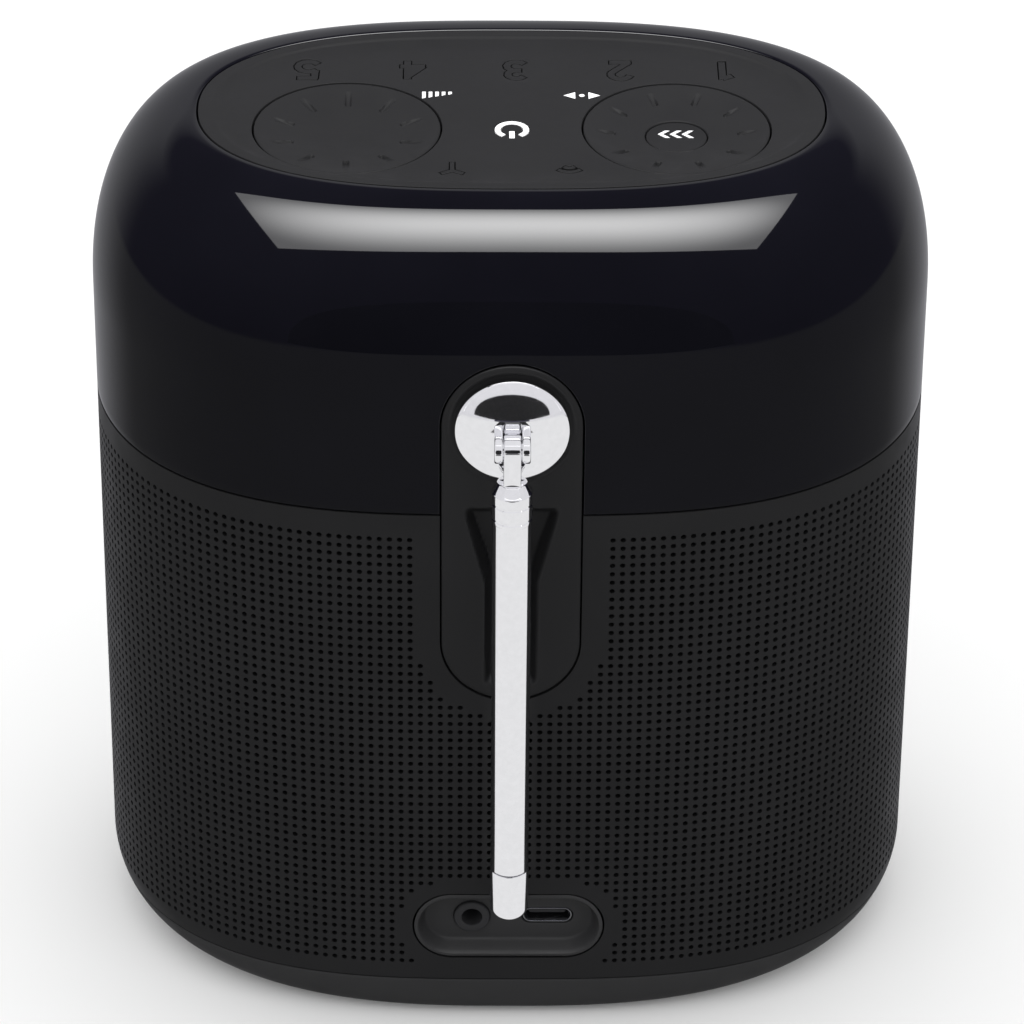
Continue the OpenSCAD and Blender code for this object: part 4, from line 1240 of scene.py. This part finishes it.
def soft_light(name, centre, faces, size, radiance, receivers, edge=None):
    """A soft box as an area lamp that the camera doesn't see. It lights only its receivers."""
    lamp = bpy.data.lights.new(name, "AREA")
    lamp.shape = "RECTANGLE"
    lamp.size, lamp.size_y = size
    lamp.energy = LAMP_POWER * radiance * size[0] * size[1]
    if edge is not None:
        fade_lamp(lamp, edge)
    made = bpy.data.objects.new(name, lamp)
    made.location = centre
    made.rotation_euler = (Vector(faces) - Vector(centre)).to_track_quat("-Z", "Y").to_euler()
    made.visible_camera = False
    bpy.context.scene.collection.objects.link(made)
    made.light_linking.receiver_collection = receivers


def fade_lamp(lamp, edge):
    """A soft box is brightest in the middle of its cloth: strength falls to edge at its ends."""
    lamp.use_nodes = True
    tree = lamp.node_tree
    place = add(tree, "NewGeometry", {}).outputs["Parametric"]
    centred = add(tree, "Mapping", {"Vector": place, "Location": (-1, -1, 0), "Scale": (2, 2, 0)})
    out = add(tree, "VectorMath", {0: centred.outputs["Vector"]}, operation="LENGTH")
    fall = between(tree, out.outputs["Value"], 1.0, edge, (0.0, 1.25), interpolation_type="SMOOTHSTEP")
    tree.links.new(fall, tree.nodes["Emission"].inputs["Strength"])


def only(name, *materials):
    """The pieces that a soft box is aimed at, by what they are made of."""
    group = bpy.data.collections.new(name)
    for made in bpy.context.scene.objects:
        if made.type == "MESH" and any(m in materials for m in made.data.materials):
            group.objects.link(made)
    return group


def mix(tree, share, first, second):
    """From the first colour to the second as share goes from 0 to 1. A colour is a constant or an output."""
    ends = [(*end, 1) if isinstance(end, tuple) else end for end in (first, second)]
    values = {"Factor": share, MIX_FIRST: ends[0], MIX_SECOND: ends[1]}
    return add(tree, "Mix", values, data_type="RGBA").outputs[MIX_OUT]


def room():
    """White for the camera and for soft light; a dim room over a pale table for what gloss reflects."""
    world = bpy.data.worlds.new("studio")
    world.use_nodes = True
    tree = world.node_tree
    way = add(tree, "SeparateXYZ", {"Vector": add(tree, "TexCoord", {}).outputs["Generated"]}).outputs
    gloss = mix(tree, between(tree, way["Z"], 0.0, 1.0, TABLE_EDGE), TABLE_TONE, ROOM_TONE)
    behind = between(tree, way["Y"], 1.0, 0.0, BACK_FADE, interpolation_type="SMOOTHSTEP")
    below = between(tree, way["Z"], 1.0, 0.0, BACK_TOP)
    lit = add(tree, "Math", {0: behind, 1: below}, operation="MULTIPLY").outputs["Value"]
    ray = add(tree, "LightPath", {}).outputs
    seen = mix(tree, ray["Is Glossy Ray"], SOFT_LIGHT, mix(tree, lit, gloss, BACK_TONE))
    shown = mix(tree, ray["Is Camera Ray"], seen, WHITE)
    tree.links.new(shown, tree.nodes["Background"].inputs["Color"])
    bpy.context.scene.world = world


def flag():
    """A black half disc on the camera's side, which chrome mirrors. Nothing but a reflection shows it."""
    reach, low, tall = 0.195, 0.08, 0.128
    outline = [(reach * math.cos(a), low + tall * math.sin(a)) for a in np.linspace(0, math.pi, 49)]
    mesh = bpy.data.meshes.new("flag")
    mesh.from_pydata([(x, 0.31, z) for x, z in outline], [], [range(len(outline))])
    mesh.materials.append(moulded("flag_cloth", (0.01, 0.01, 0.011), 0.9, 400, 0.0004))
    made = bpy.data.objects.new("flag", mesh)
    bpy.context.scene.collection.objects.link(made)
    made.visible_camera = made.visible_diffuse = made.visible_shadow = made.visible_transmission = False


def make_floor():
    reach = 6.0
    mesh = bpy.data.meshes.new("floor")
    corners = [(-reach, -reach, 0), (reach, -reach, 0), (reach, reach, 0), (-reach, reach, 0)]
    mesh.from_pydata(corners, [], [range(4)])
    made = bpy.data.objects.new("floor", mesh)
    bpy.context.scene.collection.objects.link(made)
    mesh.materials.append(shader("studio_floor", (0.86, 0.86, 0.86), 0.9, Specular_IOR_Level=0.1)[0])
    made.visible_glossy = False


def studio():
    make_floor()
    room()
    gloss = only("gloss_pieces", GLOSS_BLACK, GLASS)
    metal = only("bright_pieces", CHROME)
    rest = only("soft_pieces", PANEL_RUBBER, KEY_RUBBER, WHITE_INK, GRILLE_PAINT, BASE_PLASTIC, REAR_PLASTIC,
                NICKEL)
    overhead = ((-0.05, 0.197, 1.086), (-0.05, -0.2, 0.168), (1.4, 1.05))
    soft_light("overhead", *overhead, 11.4, gloss, 0.16)
    soft_light("key_light", *overhead, 1.5, rest)
    soft_light("metal_overhead", *overhead, 0.6, metal)
    soft_light("metal_front", (0, 0.62, 0.56), (0, 0, 0.56), (1.3, 0.68), 0.58, metal)
    soft_light("metal_table", (0, 0.155, 0.002), (0, 0.155, 1), (1.2, 0.31), 0.55, metal)
    for way in (-1, 1):
        beside, low_x, far_x = 0.68 * way, 0.42 * way, 0.38 * way
        soft_light(f"metal_side_{way}", (beside, -0.125, 0.5), (0, -0.125, 0.5), (1.55, 1.0), 0.56, metal)
        soft_light(f"metal_low_{way}", (low_x, 0.62, 0.11), (low_x, 0, 0.11), (0.5, 0.22), 0.56, metal)
        soft_light(f"metal_far_{way}", (far_x, 0.46, 0.002), (far_x, 0.46, 1), (0.56, 0.3), 0.55, metal)
    flag()
    bpy.context.scene.view_settings.view_transform = "Standard"


def photograph_camera():
    data = bpy.data.cameras.new("camera")
    data.lens, data.sensor_width = 190.85, 36
    data.clip_start, data.clip_end = 0.01, 50
    made = bpy.data.objects.new("camera", data)
    target = Vector((-0.00006, 0.04804, 0.11089))
    roll = math.radians(0.4423)
    made.location = (0.0087, 0.8314, 0.6153)
    made.rotation_euler = (target - made.location).to_track_quat("-Z", "Y").to_euler()
    made.rotation_euler.rotate_axis("Z", roll)
    bpy.context.scene.collection.objects.link(made)
    bpy.context.scene.camera = made


studio()
photograph_camera()
